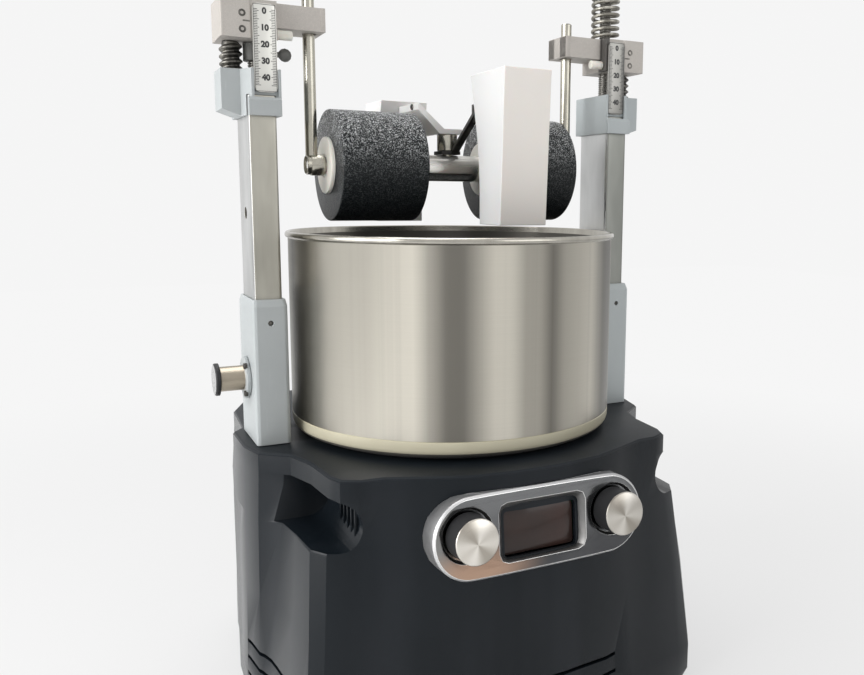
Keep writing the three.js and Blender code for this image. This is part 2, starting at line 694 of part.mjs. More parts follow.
// Mains inlet in the rear wall
function makeInlet(root) {
  const inletFace = baseBackDepth + inletFlange;
  let inlet = join(
    block([-inletWidth / 2, inletWidth / 2], [inletFace - inletDepth, baseBackDepth],
      [inletCentre - inletHeight / 2, inletCentre + inletHeight / 2]),
    block([-inletWidth / 2 - inletFlange, inletWidth / 2 + inletFlange], [baseBackDepth + fit, inletFace],
      [inletCentre - inletHeight / 2 - inletFlange, inletCentre + inletHeight / 2 + inletFlange]),
    block([-inletWidth / 2, inletWidth / 2], [baseBackDepth - fit, baseBackDepth + 2 * fit],
      [inletCentre - inletHeight / 2, inletCentre + inletHeight / 2]));
  inlet = cut(inlet, block([-inletSlotWidth / 2, inletSlotWidth / 2],
    [inletFace - inletSlotDepth, inletFace + overrun],
    [inletCentre - inletSlotHeight / 2, inletCentre + inletSlotHeight / 2]));
  add(root, 'power_inlet', inlet, finishes.black);
}

// Bowl with its rolled rim, the base stone inside it and the nut that holds both on the spindle
function makeBowl(root) {
  const corner = (radius, low, steps = 3) => Array.from({ length: steps + 1 }, (_, i) => {
    const turn = Math.PI / 2 * i / steps;
    return [bowlRadius - bowlCorner + radius * Math.sin(turn), low + radius - radius * Math.cos(turn)];
  });
  const bore = studThreadRadius + slide;
  const bead = rimTop - rimBeadHeight;
  const profile = [[bore, bowlLow], ...corner(bowlCorner, bowlLow), [bowlRadius, bead],
    [bowlRadius + rimBead, bead + 0.5 * rimBead], [bowlRadius + rimBead, rimTop - 0.5 * rimBead],
    [bowlRadius + 0.4 * rimBead, rimTop], [bowlRadius - bowlSheet, rimTop - 0.4 * rimBead],
    ...corner(bowlCorner - bowlSheet, bowlLow + bowlSheet).reverse(), [bore, bowlLow + bowlSheet],
    [bore, bowlLow]];
  add(root, 'bowl', turned(profile, 56), finishes.brightSteel);

  const stoneRadius = bowlRadius - bowlSheet - stoneGap;
  const stoneTop = stoneLow + stoneThickness;
  const pocket = stoneLow + stoneThickness / 2;
  const stone = turned([[bore, stoneLow], [stoneRadius - bowlCorner, stoneLow],
    [stoneRadius, stoneLow + bowlCorner], [stoneRadius, stoneTop - rollerEdge],
    [stoneRadius - rollerEdge, stoneTop], [bowlNutRadius + stoneGap, stoneTop],
    [bowlNutRadius + stoneGap, pocket - fit], [bore, pocket - fit], [bore, stoneLow]], 40);
  add(root, 'base_stone', stone, finishes.granite);
  const nut = cut(turned([[0, pocket], [bowlNutRadius, pocket], [bowlNutRadius, pocket + 0.8 * bowlNutHeight],
    [0.9 * bowlNutRadius, pocket + 1.2 * bowlNutHeight], [0, pocket + 1.2 * bowlNutHeight]], 6),
  disc(studThreadRadius + fit, [pocket - overrun, pocket + bowlNutHeight + fit], 24));
  add(root, 'bowl_nut', nut, finishes.steel);
}

// Fixed sleeves on the deck and the lock plunger of the left one
const plungerAxis = baseHeight + plungerHeight;
const bored = (radius, from, to, height) => disc(radius, ordered(from, to), 16, 'x', [0, 0, height]);

function makeSleeves(root) {
  sides.forEach(([name, side]) => {
    const group = new THREE.Group();
    group.position.set(...postPlace(side), 0);
    root.add(group);
    const outline = roundedOutline(sleeveWidth, sleeveDepth, tubeCorner);
    const crown = roundedOutline(sleeveWidth - sleeveChamfer / 3, sleeveDepth - sleeveChamfer, tubeCorner);
    let sleeve = loft([atHeight(outline, baseHeight + fit), atHeight(outline, sleeveTop - sleeveChamfer),
      atHeight(crown, sleeveTop)]);
    const bore = roundedOutline(tubeWidth + 2 * slide, tubeDepth + 2 * slide, tubeCorner);
    sleeve = cut(sleeve, bar(bore, [baseHeight - overrun, sleeveTop + overrun]));
    const screwHole = disc(pinRadius / 2, [0, sleeveDepth], 12, 'y',
      [0, -sleeveDepth - tubeDepth / 2 + tubeCorner, sleeveTop - 3.4 * sleeveChamfer]);
    sleeve = cut(sleeve, screwHole);
    if (side < 0) {
      sleeve = cut(sleeve, bored(pinRadius + slide, -sleeveWidth, 0, plungerAxis));
    }
    add(group, `sleeve_${name}`, sleeve, finishes.paint);
    if (side > 0) return;

    const flangeFace = -sleeveWidth / 2 - fit;
    const flangeEnd = flangeFace - plungerFlangeThickness;
    const lensPoints = 20;
    const lens = Array.from({ length: lensPoints }, (_, i) => {
      const turn = 2 * Math.PI * i / lensPoints;
      const pinch = (1 - 0.12 * Math.sin(2 * turn) ** 2) / 2;
      return [plungerFlangeWidth * Math.cos(turn) * pinch, plungerFlangeHeight * Math.sin(turn) * pinch];
    });
    const plate = prism(lens.map(([y, z]) => [y, z + plungerAxis]), [flangeEnd, flangeFace], 'x');
    const barrelEnd = flangeEnd - plungerBarrelLength;
    let guide = join(plate, bored(plungerBarrelRadius, barrelEnd, flangeFace, plungerAxis));
    guide = cut(guide, bored(pinRadius + slide, barrelEnd - overrun, flangeFace + overrun, plungerAxis));
    add(group, 'plunger_guide', guide, finishes.steel);

    const knobEnd = -(plungerKnobLength + slide + plungerBarrelLength + plungerFlangeThickness
      + sleeveWidth / 2 + fit);
    const knobFace = barrelEnd - slide;
    const knob = turned([[0, knobEnd], [plungerKnobRadius - 3 * fit, knobEnd],
      [plungerKnobRadius, knobEnd + 3 * fit], [plungerKnobRadius, knobFace], [pinRadius, knobFace],
      [pinRadius, -tubeWidth / 2 - slide], [0, -tubeWidth / 2 - slide]], 20, 'x');
    add(group, 'plunger_knob', knob, finishes.darkSteel).position.set(0, 0, plungerAxis);
  });
}

// Gantry: tubes, heads, scales, stop screws, studs with their springs, and the bar across the top
function makeGantry(root) {
  sides.forEach(([name, side]) => {
    const group = new THREE.Group();
    group.position.set(...postPlace(side), 0);
    root.add(group);
    const out = (a, b) => ordered(side * a, side * b);

    const outer = roundedOutline(tubeWidth, tubeDepth, tubeCorner);
    const inner = roundedOutline(tubeWidth - 2 * tubeWall, tubeDepth - 2 * tubeWall, tubeCorner / 2);
    let tube = cut(bar(outer, [tubeLow, tubeTop]), bar(inner, [tubeLow - overrun, tubeTop + overrun]));
    if (side < 0) {
      [plungerAxis, plungerAxis + liftTravel].forEach((height) => {
        tube = cut(tube, bored(pinRadius + slide, -tubeWidth, 0, height));
      });
    }
    add(group, `tube_${name}`, tube, finishes.steel);

    // Head: a cap on the tube with a boss beside it, a tab and a recess in front for the scale
    const front = -capDepth / 2;
    const half = capWidth / 2;
    const bossFront = -bossDepth / 2;
    const step = half - (bossFront - front) / 2;
    const plan = [[-half, front], [step, front], [half, bossFront], [bossReach, bossFront],
      [bossReach, -bossFront], [half, -bossFront], [half, -front], [-half, -front]];
    const mirrored = plan.map(([x, y]) => [side * x, y]);
    let head = bar(mirrored, [capLow, capTop]);
    const wedge = [[half, capLow - overrun], [bossReach + overrun, capLow - overrun],
      [bossReach + overrun, capLow + bossTaper + bossTaper / 2], [half, capLow]];
    const wedgeSide = wedge.map(([x, z]) => [side * x, z]);
    head = cut(head, prism(wedgeSide, [-capDepth, capDepth], 'y'));
    const tabTop = capLow + tabHeight;
    const tab = [[front + tabStand, capLow], [front + tabStand, tabTop], [front, tabTop],
      [front - tabStand, tabTop - tabStand], [front - tabStand, capLow]];
    const tabXs = out(-half + fit, -half + fit + tabWidth);
    head = join(head, prism(tab, tabXs, 'x'));
    const seatXs = out(scaleOffset - scaleWidth / 2 - fit, scaleOffset + scaleWidth / 2 + fit);
    const scaleBack = front + scaleSeat;
    head = cut(head, block(seatXs, [front - overrun, scaleBack], [tabTop, capTop + overrun]));
    const socket = roundedOutline(tubeWidth + 2 * fit, tubeDepth + 2 * fit, tubeCorner);
    const blind = capLow + socketDepth + boreBlind;
    head = cut(head, bar(socket, [capLow - overrun, capLow + socketDepth]),
      disc(studRadius + fit, [blind, capTop + overrun], 20),
      disc(stopScrewRadius + fit, [blind, capTop + overrun], 28, 'z', [side * stopScrewReach, 0, 0]));
    add(group, `head_${name}`, head, finishes.paint);

    const scaleLow = tabTop + 10 * fit;
    const face = roundedOutline(scaleWidth, scaleLength, 2 * scaleThickness)
      .map(([x, z]) => [x + side * scaleOffset, z + scaleLow + scaleLength / 2]);
    add(group, `scale_${name}`, prism(face, [scaleBack - fit - scaleThickness, scaleBack - fit], 'y'),
      finishes.steel);

    const stop = turned([[0, blind + fit], [stopScrewRadius, blind + fit],
      [stopScrewRadius, sliderLow - fit - tabStand], [stopScrewRadius - tabStand, sliderLow - fit],
      [0, sliderLow - fit]], 20);
    add(group, `stop_screw_${name}`, stop, finishes.darkSteel).position.set(side * stopScrewReach, 0, 0);

    add(group, `spring_${name}`, spring(), finishes.darkSteel);
    const headLow = crossBarTop + fit;
    const screw = turned([[0, blind + fit], [studRadius, blind + fit], [studRadius, headLow],
      [screwHeadRadius - 4 * fit, headLow], [screwHeadRadius, headLow + 4 * fit],
      [screwHeadRadius, headLow + 0.8 * screwHeadHeight], [0.8 * screwHeadRadius, headLow + screwHeadHeight],
      [0, headLow + screwHeadHeight]], 20);
    add(group, `tension_screw_${name}`, screw, finishes.darkSteel);

    if (side > 0) return;
    const low = sliderLow - slide - collarHeight;
    const collarRadius = stopScrewReach - stopScrewRadius - slide;
    const middle = low + collarHeight / 2;
    const ring = collar(studRadius + fit, collarRadius, [low, low + collarHeight], 20);
    const stem = bored(ballStemRadius, collarRadius - ballStemRadius, ballReach, middle);
    const ball = solid(new THREE.SphereGeometry(ballRadius, 12, 6).translate(ballReach, 0, middle));
    add(group, 'stop_collar', join(ring, stem, ball), finishes.black);
  });

  const [end, waist] = [crossBarEnd, crossBarWaist / 2];
  const quarter = Array.from({ length: 7 }, (_, i) => {
    const turn = (i - 3) * Math.PI / 7.5;
    return [postReach + end * Math.cos(turn), crossBarDepth / 2 * Math.sin(turn) / Math.sin(0.4 * Math.PI)];
  });
  const neck = postReach - 2 * end;
  const outline = [...quarter, [neck, waist], [-neck, waist], ...quarter.map(([x, y]) => [-x, -y]),
    [-neck, -waist], [neck, -waist]];
  const soft = drawnIn(outline, crossBarEdge);
  let crossBar = loft([atHeight(soft, crossBarLow), atHeight(outline, crossBarLow + crossBarEdge),
    atHeight(outline, crossBarTop - crossBarEdge), atHeight(soft, crossBarTop)]);
  sides.forEach(([, side]) => {
    crossBar = cut(crossBar, disc(studRadius + fit, [crossBarLow - overrun, crossBarTop + overrun], 20, 'z',
      [side * postReach, 0, 0]));
  });
  add(root, 'cross_bar', crossBar, finishes.paint).position.set(0, gantrySetback, 0);
}

// A spring is one unbroken tube wound in a helix
function spring() {
  const [stepsPerTurn, sidesOfWire] = [8, 5];
  const mean = (springOuter - springWire) / 2;
  const rise = springLength - springWire;
  const steps = Math.round(springTurns * stepsPerTurn);
  const turns = steps / stepsPerTurn;
  const centre = (i) => {
    const turn = 2 * Math.PI * i / stepsPerTurn;
    return new THREE.Vector3(mean * Math.cos(turn), mean * Math.sin(turn),
      springLow + springWire / 2 + rise * i / steps);
  };
  const positions = [];
  for (let i = 0; i <= steps; i += 1) {
    const turn = 2 * Math.PI * i / stepsPerTurn;
    const along = new THREE.Vector3(-Math.sin(turn), Math.cos(turn),
      rise / turns / (2 * Math.PI * mean)).normalize();
    const outward = new THREE.Vector3(Math.cos(turn), Math.sin(turn), 0);
    const upward = new THREE.Vector3().crossVectors(outward, along);
    for (let k = 0; k < sidesOfWire; k += 1) {
      const angle = 2 * Math.PI * k / sidesOfWire;
      const point = centre(i).addScaledVector(outward, springWire / 2 * Math.cos(angle))
        .addScaledVector(upward, springWire / 2 * Math.sin(angle));
      positions.push(point.x, point.y, point.z);
    }
  }
  const index = [];
  for (let i = 0; i < steps; i += 1) {
    for (let k = 0; k < sidesOfWire; k += 1) {
      const [a, b] = [i * sidesOfWire + k, i * sidesOfWire + (k + 1) % sidesOfWire];
      index.push(a, b, b + sidesOfWire, a, b + sidesOfWire, a + sidesOfWire);
    }
  }
  const last = steps * sidesOfWire;
  for (let k = 1; k < sidesOfWire - 1; k += 1) {
    index.push(0, k + 1, k, last, last + k, last + k + 1);
  }
  let least = Infinity;
  for (let i = 0; i + stepsPerTurn / 2 <= steps; i += 1) {
    for (let j = i + stepsPerTurn / 2; j <= steps; j += 1) {
      least = Math.min(least, centre(i).distanceTo(centre(j)) - springWire);
    }
  }
  console.log(`spring: ${turns} turns, least gap ${least.toFixed(2)} mm`);
  const geometry = new THREE.BufferGeometry();
  geometry.setAttribute('position', new THREE.Float32BufferAttribute(positions, 3));
  geometry.setIndex(index);
  return solid(geometry);
}

// Carriage: sliders, rods, axle, rollers, and the two scrapers on their bracket
function makeCarriage(root) {
  const carriage = new THREE.Group();
  carriage.position.set(0, gantrySetback, 0);
  root.add(carriage);
  const rodReach = postReach - rodInboard;
  const rollerOuter = rollerInner + rollerWidth;
  const hubOuter = rollerOuter + fit + hubFlange;
  const eyeInner = hubOuter + slide;
  const eyeOuter = eyeInner + eyeLength;

  sides.forEach(([name, side]) => {
    const post = new THREE.Group();
    post.position.set(side * postReach, 0, 0);
    carriage.add(post);
    const out = (a, b) => ordered(side * a, side * b);
    const scaleClear = -capDepth / 2 + scaleSeat + slide;
    const cheek = bar(roundedOutline(sliderReach - sliderCheek, sliderFront + sliderBack, sliderEdge)
      .map(([x, y]) => [x + side * (sliderReach + sliderCheek) / 2, y + (sliderBack - sliderFront) / 2]),
    [sliderLow, sliderTop]);
    const middle = block(out(-sliderInboard, sliderCheek + sliderEdge), [scaleClear, sliderBack],
      [sliderLow, sliderTop]);
    const arm = block(out(-armReach, -sliderInboard + sliderEdge), [-armHalfDepth, armHalfDepth],
      [sliderShoulder, sliderTop]);
    let slider = join(cheek, middle, arm);
    const rodX = -side * rodInboard;
    slider = cut(slider, disc(studRadius + slide, [sliderLow - overrun, sliderTop + overrun], 20),
      disc(rodRadius + fit, [sliderShoulder - overrun, sliderTop + overrun], 16, 'z', [rodX, 0, 0]),
      block(out(-armReach - overrun, -rodInboard), [-rodRadius - fit, rodRadius + fit],
        [sliderShoulder - overrun, sliderTop + overrun]));
    const thumbAxis = sliderLow + (sliderHeight - armHeight) / 2;
    const thumbPlace = [0, -thumbForward, thumbAxis];
    const thumbHole = disc(thumbStemRadius + fit, out(-sliderInboard - overrun, -thumbForward / 2), 12, 'x',
      thumbPlace);
    slider = cut(slider, thumbHole);
    add(post, `slider_${name}`, slider, finishes.blasted);

    const [from, to] = [sliderInboard + slide, sliderInboard + slide + thumbLength];
    const thumb = join(disc(thumbRadius, out(-from, -to), 18, 'x'),
      disc(thumbStemRadius, out(-thumbForward / 2 - fit, -from - fit), 12, 'x'));
    add(post, `thumb_screw_${name}`, thumb, finishes.acetal).position.set(...thumbPlace);

    const eyeMiddle = side * (eyeInner + eyeOuter) / 2;
    const eye = turned([[axleRadius + fit, 0], [eyeRadius, 0], [eyeRadius, eyeLength - eyeTip],
      [eyeTipRadius, eyeLength - eyeTip], [eyeTipRadius, eyeLength], [axleRadius + fit, eyeLength],
      [axleRadius + fit, 0]].map(([r, h]) => [r, side * h]), 24, 'x', [side * eyeInner, 0, axleHeight]);
    const shank = disc(rodRadius, [axleHeight + axleRadius + 2 * fit, sliderTop + rodProud], 16, 'z',
      [side * rodReach, 0, 0]);
    const boreXs = ordered(eyeMiddle - side * eyeLength, eyeMiddle + side * eyeLength);
    const bore = disc(axleRadius + fit, boreXs, 24, 'x', [0, 0, axleHeight]);
    add(carriage, `rod_${name}`, cut(join(eye, shank), bore), finishes.brightSteel);

    // Stone roller between two flanged bushes that run on the axle
    const wheel = new THREE.Group();
    wheel.position.set(0, 0, axleHeight);
    carriage.add(wheel);
    const along = (points) => points.map(([r, h]) => [r, side * h]);
    const stone = along([[rollerBore, rollerInner], [rollerRadius - rollerEdge, rollerInner],
      [rollerRadius, rollerInner + rollerEdge], [rollerRadius, rollerOuter - rollerEdge],
      [rollerRadius - rollerEdge, rollerOuter], [rollerBore, rollerOuter], [rollerBore, rollerInner]]);
    add(wheel, `roller_${name}`, turned(stone, 44, 'x'), finishes.granite);
    [['inner', rollerInner, -1], ['outer', rollerOuter, 1]].forEach(([place, face, way]) => {
      const [bushEnd, seat, outside] = [-hubBush, fit, hubFlange + fit].map((reach) => face + way * reach);
      const hub = along([[axleRadius + slide, bushEnd], [rollerBore - fit, bushEnd], [rollerBore - fit, seat],
        [hubFlangeRadius, seat], [hubFlangeRadius, outside], [axleRadius + slide, outside],
        [axleRadius + slide, bushEnd]]);
      add(wheel, `hub_${name}_${place}`, turned(hub, 24, 'x'), finishes.acetal);
    });
  });

  const shoulder = rollerInner - fit - hubFlange - slide;
  const axleEnd = eyeOuter + fit / 2;
  const pinFoot = axleHeight + axleMiddleRadius - bracketPinDepth;
  let axle = turned([[0, -axleEnd], [axleRadius, -axleEnd], [axleRadius, -shoulder],
    [axleMiddleRadius, -shoulder], [axleMiddleRadius, shoulder], [axleRadius, shoulder],
    [axleRadius, axleEnd], [0, axleEnd]], 24, 'x', [0, 0, axleHeight]);
  axle = cut(axle, disc(bracketPinRadius + fit, [pinFoot - fit, axleHeight + 2 * axleMiddleRadius], 16));
  add(carriage, 'axle', axle, finishes.brightSteel);
  makeScrapers(carriage, pinFoot);
}

// Side profile of a scraper as [distance in front of the roller's front, height above the foot]: the
// hollow back follows the roller and the face leans. Shares of the clearance, run, lean and height.
const backShares = [[1.30, 0], [1.25, 0.24], [0.95, 0.405], [0.20, 0.575], [-1.05, 0.775], [-2.60, 1]];

function scraperProfile(run, height) {
  const foot = rimTop + scraperRest;
  const roller = -rollerRadius;
  const tallest = frontScraperHeight;
  const back = backShares.map(([share, up]) => [roller - share * scraperClear, foot + up * tallest])
    .filter(([, z]) => z <= foot + height + fit);
  const top = back[back.length - 1];
  if (height < tallest) {
    const next = backShares[back.length];
    const [y, z] = [roller - next[0] * scraperClear, foot + next[1] * tallest];
    const part = (foot + height - top[1]) / (z - top[1]);
    back.push([top[0] + (y - top[0]) * part, foot + height]);
  }
  const face = [back[0][0] - run, foot];
  const crest = [face[0] - scraperLean * height / tallest, foot + height];
  return [...back, crest, face];
}

function makeScrapers(carriage, pinFoot) {
  const footLow = axleHeight + axleMiddleRadius + fit;
  const nutLow = footLow + bracketFoot + fit;
  const nutTop = nutLow + bracketNutHeight;
  const strapLow = nutTop + fit;
  const strapTop = strapLow + strapThickness;

  const frontProfile = scraperProfile(scraperRun, frontScraperHeight);
  const frontXs = [scraperInner, scraperInner + frontScraperWidth];
  const rearProfile = scraperProfile(rearScraperRun, rearScraperHeight).map(([y, z]) => [-y, z]).reverse();
  const rearXs = [-rearScraperInner - rearScraperWidth, -rearScraperInner];
  const slab = (profile, [x0, x1]) => {
    const [wide, narrow] = [[x0, x1], [x0 + scraperBevel, x1 - scraperBevel]];
    const core = prism(profile, wide, 'x');
    const inset = prism(drawnIn(profile, -scraperBevel), narrow, 'x');
    return core.intersect(inset.add(core));
  };
  const front = slab(frontProfile, frontXs);
  const rear = slab(rearProfile, rearXs);
  add(carriage, 'scraper_front', front, finishes.acetal);
  add(carriage, 'scraper_rear', rear, finishes.acetal);

  // The front strut stands on a foot between axle and nut and ends in a pad on the scraper's back
  const padAt = nutTop + 1.1 * padHeight;
  const hole = disc(bracketPinRadius + fit, [footLow - overrun, strapTop + overrun], 16);
  const square = strutSize / 2;
  const strutFrom = [square, -bracketFootHalf + square, footLow];
  const strutTo = [scraperInner + square, -rollerRadius + padThickness, padAt];
  const strut = loft([strutFrom, strutTo].map(([x, y, z]) => [[x - square, y - square, z],
    [x + square, y - square, z], [x + square, y + square, z], [x - square, y + square, z]]));
  const foot = block([-bracketFootHalf, bracketFootHalf], [-bracketFootHalf, bracketFootHalf],
    [footLow, footLow + bracketFoot]);
  const pad = block([scraperInner, scraperInner + padWidth],
    [-rollerRadius - 4 * padThickness, -rollerRadius + 1.6 * padThickness],
    [padAt - padHeight / 2, padAt + padHeight / 2]);
  const frontCut = solid(shapeOf(front).translate(0, fit, 0));
  const ahead = block([-postReach, postReach], [-baseFrontDepth, -rollerRadius - 0.5 * padThickness],
    [footLow, strapTop + baseHeight]);
  const clearNut = disc(bracketFootHalf + slide, [nutLow - fit, nutTop + fit], 28);
  const bracket = cut(join(foot, strut, pad), hole, frontCut, ahead, clearNut);
  add(carriage, 'strut_front', bracket, finishes.darkSteel);

  const nut = turned([[0, pinFoot], [bracketPinRadius, pinFoot], [bracketPinRadius, nutLow],
    [bracketFootHalf, nutLow], [bracketFootHalf, nutTop], [bracketPinRadius, nutTop],
    [bracketPinRadius, strapTop + fit], [0, strapTop + fit]], 18);
  add(carriage, 'bracket_nut', nut, finishes.brightSteel);

  // The rear strap lies on the nut and climbs between the rollers to the face of the rear scraper
  const run = strapReach - strapHalfWidth;
  const climb = strapThickness * Math.hypot(run, strapRise) / run;
  const root = strapThickness - strapHalfWidth;
  const edge = [[root, strapLow], [root, strapTop], [-strapReach, strapLow + strapRise + climb],
    [-strapReach, strapLow + strapRise], [-strapHalfWidth, strapLow]];
  const behind = solid(shapeOf(rear).translate(0, -fit, 0));
  const arm = cut(prism(edge, [-bracketFootHalf, rollerRadius + rearScraperRun / 2], 'y'), behind);
  const flat = block([-strapHalfWidth, strapHalfWidth], [-bracketFootHalf, bracketFootHalf],
    [strapLow, strapTop]);
  add(carriage, 'strap_rear', cut(join(flat, arm), hole), finishes.blasted);
}

const melanger = new THREE.Group();
makeBase(melanger);
makeDrive(melanger);
makePanel(melanger);
makeInlet(melanger);
makeBowl(melanger);
makeSleeves(melanger);
makeGantry(melanger);
makeCarriage(melanger);

// The frame's origin is on the floor, in the middle of the box that holds the whole machine
const reach = new THREE.Box3().setFromObject(melanger, true);
const middle = reach.getCenter(new THREE.Vector3()).setZ(reach.min.z);
melanger.children.forEach((piece) => piece.position.sub(middle));
console.log(`bowl axis at ${middle.toArray().map((place) => (-place).toFixed(3))}`);

export default melanger;
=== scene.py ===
# Bench-top chocolate melanger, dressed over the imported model.
# Lengths in the dictionaries are millimetres, Z is up and the control panel faces -Y.
import math
import bmesh
import bpy
from mathutils import Matrix, Vector


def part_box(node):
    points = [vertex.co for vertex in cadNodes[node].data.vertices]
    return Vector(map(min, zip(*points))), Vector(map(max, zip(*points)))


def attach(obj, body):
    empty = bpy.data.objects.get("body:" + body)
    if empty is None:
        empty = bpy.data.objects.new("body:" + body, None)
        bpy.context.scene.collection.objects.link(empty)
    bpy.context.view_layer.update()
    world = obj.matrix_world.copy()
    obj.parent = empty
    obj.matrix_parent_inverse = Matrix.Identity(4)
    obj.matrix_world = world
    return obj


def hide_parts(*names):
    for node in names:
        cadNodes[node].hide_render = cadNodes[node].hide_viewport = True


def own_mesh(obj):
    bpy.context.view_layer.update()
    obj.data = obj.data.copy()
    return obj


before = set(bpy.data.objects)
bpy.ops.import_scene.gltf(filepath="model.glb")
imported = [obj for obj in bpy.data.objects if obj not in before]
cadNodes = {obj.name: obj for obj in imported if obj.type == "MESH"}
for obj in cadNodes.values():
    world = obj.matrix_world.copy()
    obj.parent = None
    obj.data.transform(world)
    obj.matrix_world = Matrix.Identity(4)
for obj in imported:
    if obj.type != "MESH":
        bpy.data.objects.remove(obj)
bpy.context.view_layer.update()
mm = 0.001
sides = (("left", -1), ("right", 1))
posts = {"reach": 135, "setback": 8}
print("frame loaded:", len(cadNodes), "nodes")

# Places below are measured from the axis of the bowl, at the underside of the base pan
bowlLow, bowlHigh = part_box("bowl")
axisFoot = Vector(((bowlLow.x + bowlHigh.x) / 2, (bowlLow.y + bowlHigh.y) / 2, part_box("base_pan")[0].z))


def nodeBox(node):
    low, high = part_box(node)
    return (low - axisFoot) / mm, (high - axisFoot) / mm


def metres(*lengths):
    return tuple(length * mm for length in lengths)


# Camera
camera = {"place": (-250.9, -579.0, 349.1), "yaw": 27.89, "down": 8.15, "roll": 0.52,
          "focal": 856.665, "principal": (517.94, 320.37), "image": (864, 675), "sensor": 36}


def setCamera():
    yaw, down, roll = (math.radians(camera[k]) for k in ("yaw", "down", "roll"))
    ahead = Vector((math.sin(yaw) * math.cos(down), math.cos(yaw) * math.cos(down), -math.sin(down)))
    level = Vector((math.cos(yaw), -math.sin(yaw), 0))
    upright = level.cross(ahead)
    right = math.cos(roll) * level + math.sin(roll) * upright
    up = math.cos(roll) * upright - math.sin(roll) * level
    data = bpy.data.cameras.new("photoCamera")
    width, height = camera["image"]
    data.sensor_width = camera["sensor"]
    data.lens = camera["sensor"] * camera["focal"] / width
    data.shift_x = (width / 2 - camera["principal"][0]) / width
    data.shift_y = (camera["principal"][1] - height / 2) / width
    data.clip_start = 0.01
    eye = bpy.data.objects.new("photoCamera", data)
    bpy.context.scene.collection.objects.link(eye)
    turn = Matrix((right, up, -ahead)).transposed().to_4x4()
    eye.matrix_world = Matrix.Translation(axisFoot + Vector(camera["place"]) * mm) @ turn
    bpy.context.scene.camera = eye


setCamera()


# Shader maths: a socket that adds its own nodes
class Wire:
    def __init__(self, finish, socket):
        self.finish = finish
        self.socket = socket

    def maths(self, operation, *others):
        node = self.finish.add("ShaderNodeMath", {"operation": operation}, dict(enumerate((self,) + others)))
        return Wire(self.finish, node.outputs[0])

    def __add__(self, other):
        return self.maths("ADD", other)

    def __radd__(self, other):
        return self.maths("ADD", other)

    def __sub__(self, other):
        return self.maths("SUBTRACT", other)

    def __rsub__(self, other):
        return self.maths("MULTIPLY", -1).maths("ADD", other)

    def __mul__(self, other):
        return self.maths("MULTIPLY", other)

    def __truediv__(self, other):
        return self.maths("DIVIDE", other)


class Finish:
    def __init__(self, name, **sockets):
        self.material = bpy.data.materials.new(name)
        self.material.use_nodes = True
        self.tree = self.material.node_tree
        self.shader = self.tree.nodes["Principled BSDF"]
        self.set(**sockets)

    def set(self, **sockets):
        for name, value in sockets.items():
            self.plug(self.shader.inputs[name.replace("_", " ")], value)

    def plug(self, socket, value):
        if isinstance(value, Wire):
            self.tree.links.new(value.socket, socket)
        elif socket.type == "RGBA":
            socket.default_value = (*value, 1)[:4]
        else:
            socket.default_value = value

    def add(self, kind, settings, sockets):
        node = self.tree.nodes.new(kind)
        for name, value in settings.items():
            if name == "stops":
                ramp = node.color_ramp
                while len(ramp.elements) < len(value):
                    ramp.elements.new(1)
                for element, (place, colour) in zip(ramp.elements, value):
                    element.position = place
                    element.color = (*colour, 1)
            else:
                setattr(node, name, value)
        for name, value in sockets.items():
            self.plug(node.inputs[name], value)
        return node

    def wire(self, kind, output, settings, sockets):
        return Wire(self, self.add(kind, settings, sockets).outputs[output])

    def place(self, centre=(0, 0, 0)):
        where = self.wire("ShaderNodeTexCoord", "Object", {}, {})
        start = axisFoot + Vector(centre) * mm
        return self.wire("ShaderNodeVectorMath", 0, {"operation": "SUBTRACT"}, {0: where, 1: start})

    def axes(self, vector):
        node = self.add("ShaderNodeSeparateXYZ", {}, {0: vector})
        return [Wire(self, node.outputs[i]) for i in range(3)]

    def vector(self, x, y, z):
        return self.wire("ShaderNodeCombineXYZ", 0, {}, {0: x, 1: y, 2: z})

    def noise(self, vector, scale, detail=3, roughness=0.5):
        return self.wire("ShaderNodeTexNoise", 0, {}, {"Vector": vector, "Scale": scale, "Detail": detail,
                                                       "Roughness": roughness})

    def stretch(self, vector, scale):
        return self.wire("ShaderNodeVectorMath", 0, {"operation": "MULTIPLY"}, {0: vector, 1: scale})

    def step(self, value, low, high, start=0, end=1):
        return self.wire("ShaderNodeMapRange", 0, {"interpolation_type": "SMOOTHSTEP"},
                         {"Value": value, "From Min": low, "From Max": high, "To Min": start, "To Max": end})

    def mix(self, factor, first, second):
        return self.wire("ShaderNodeMix", 2, {"data_type": "RGBA"}, {0: factor, 6: first, 7: second})

    def ramp(self, value, stops):
        return self.wire("ShaderNodeValToRGB", 0, {"stops": stops}, {0: value})

    def bump(self, height, depth):
        self.set(Normal=self.wire("ShaderNodeBump", 0, {},
                                  {"Height": height, "Distance": depth * mm, "Strength": 1}))


def grey(level):
    return (level, level, level)


# Painted housing: dark blue-grey satin with a fine moulded grain and painted upright sheen streaks, duller on
# its deck
deckHeights = (183.5, 184.8)


def paintedHousing():
    f = Finish("paintedHousing", Specular_IOR_Level=0.2)
    p = f.place()
    cloud = f.noise(p, 9, 3)
    grain = f.noise(p, 1500, 3, 0.6)
    dust = f.step(f.noise(p, 420, 4, 0.7), 0.66, 0.8)
    # Painted sheen: soft upright streaks lighten the base colour where reflections would stand
    paintedSheen = f.step(f.noise(f.stretch(p, (1, 1, 0.08)), 26, 2), 0.42, 0.68)
    shade = f.mix(cloud * 0.4 + paintedSheen * 0.6, (0.0045, 0.0070, 0.0095), (0.0125, 0.0155, 0.0195))
    deck = f.step(f.axes(p)[2], *metres(*deckHeights))
    f.set(Base_Color=f.mix(dust * 0.06, shade, (0.10, 0.105, 0.12)),
          Roughness=0.16 + grain * 0.12 + deck * 0.26)
    f.bump(grain, 0.035)
    return f.material


# Sleeves, heads and top bar: pale blue-grey paint with a slight orange peel; painted lighter towards the right
# post and darker towards the left, as light
paintLightSpan = (-100, 100)


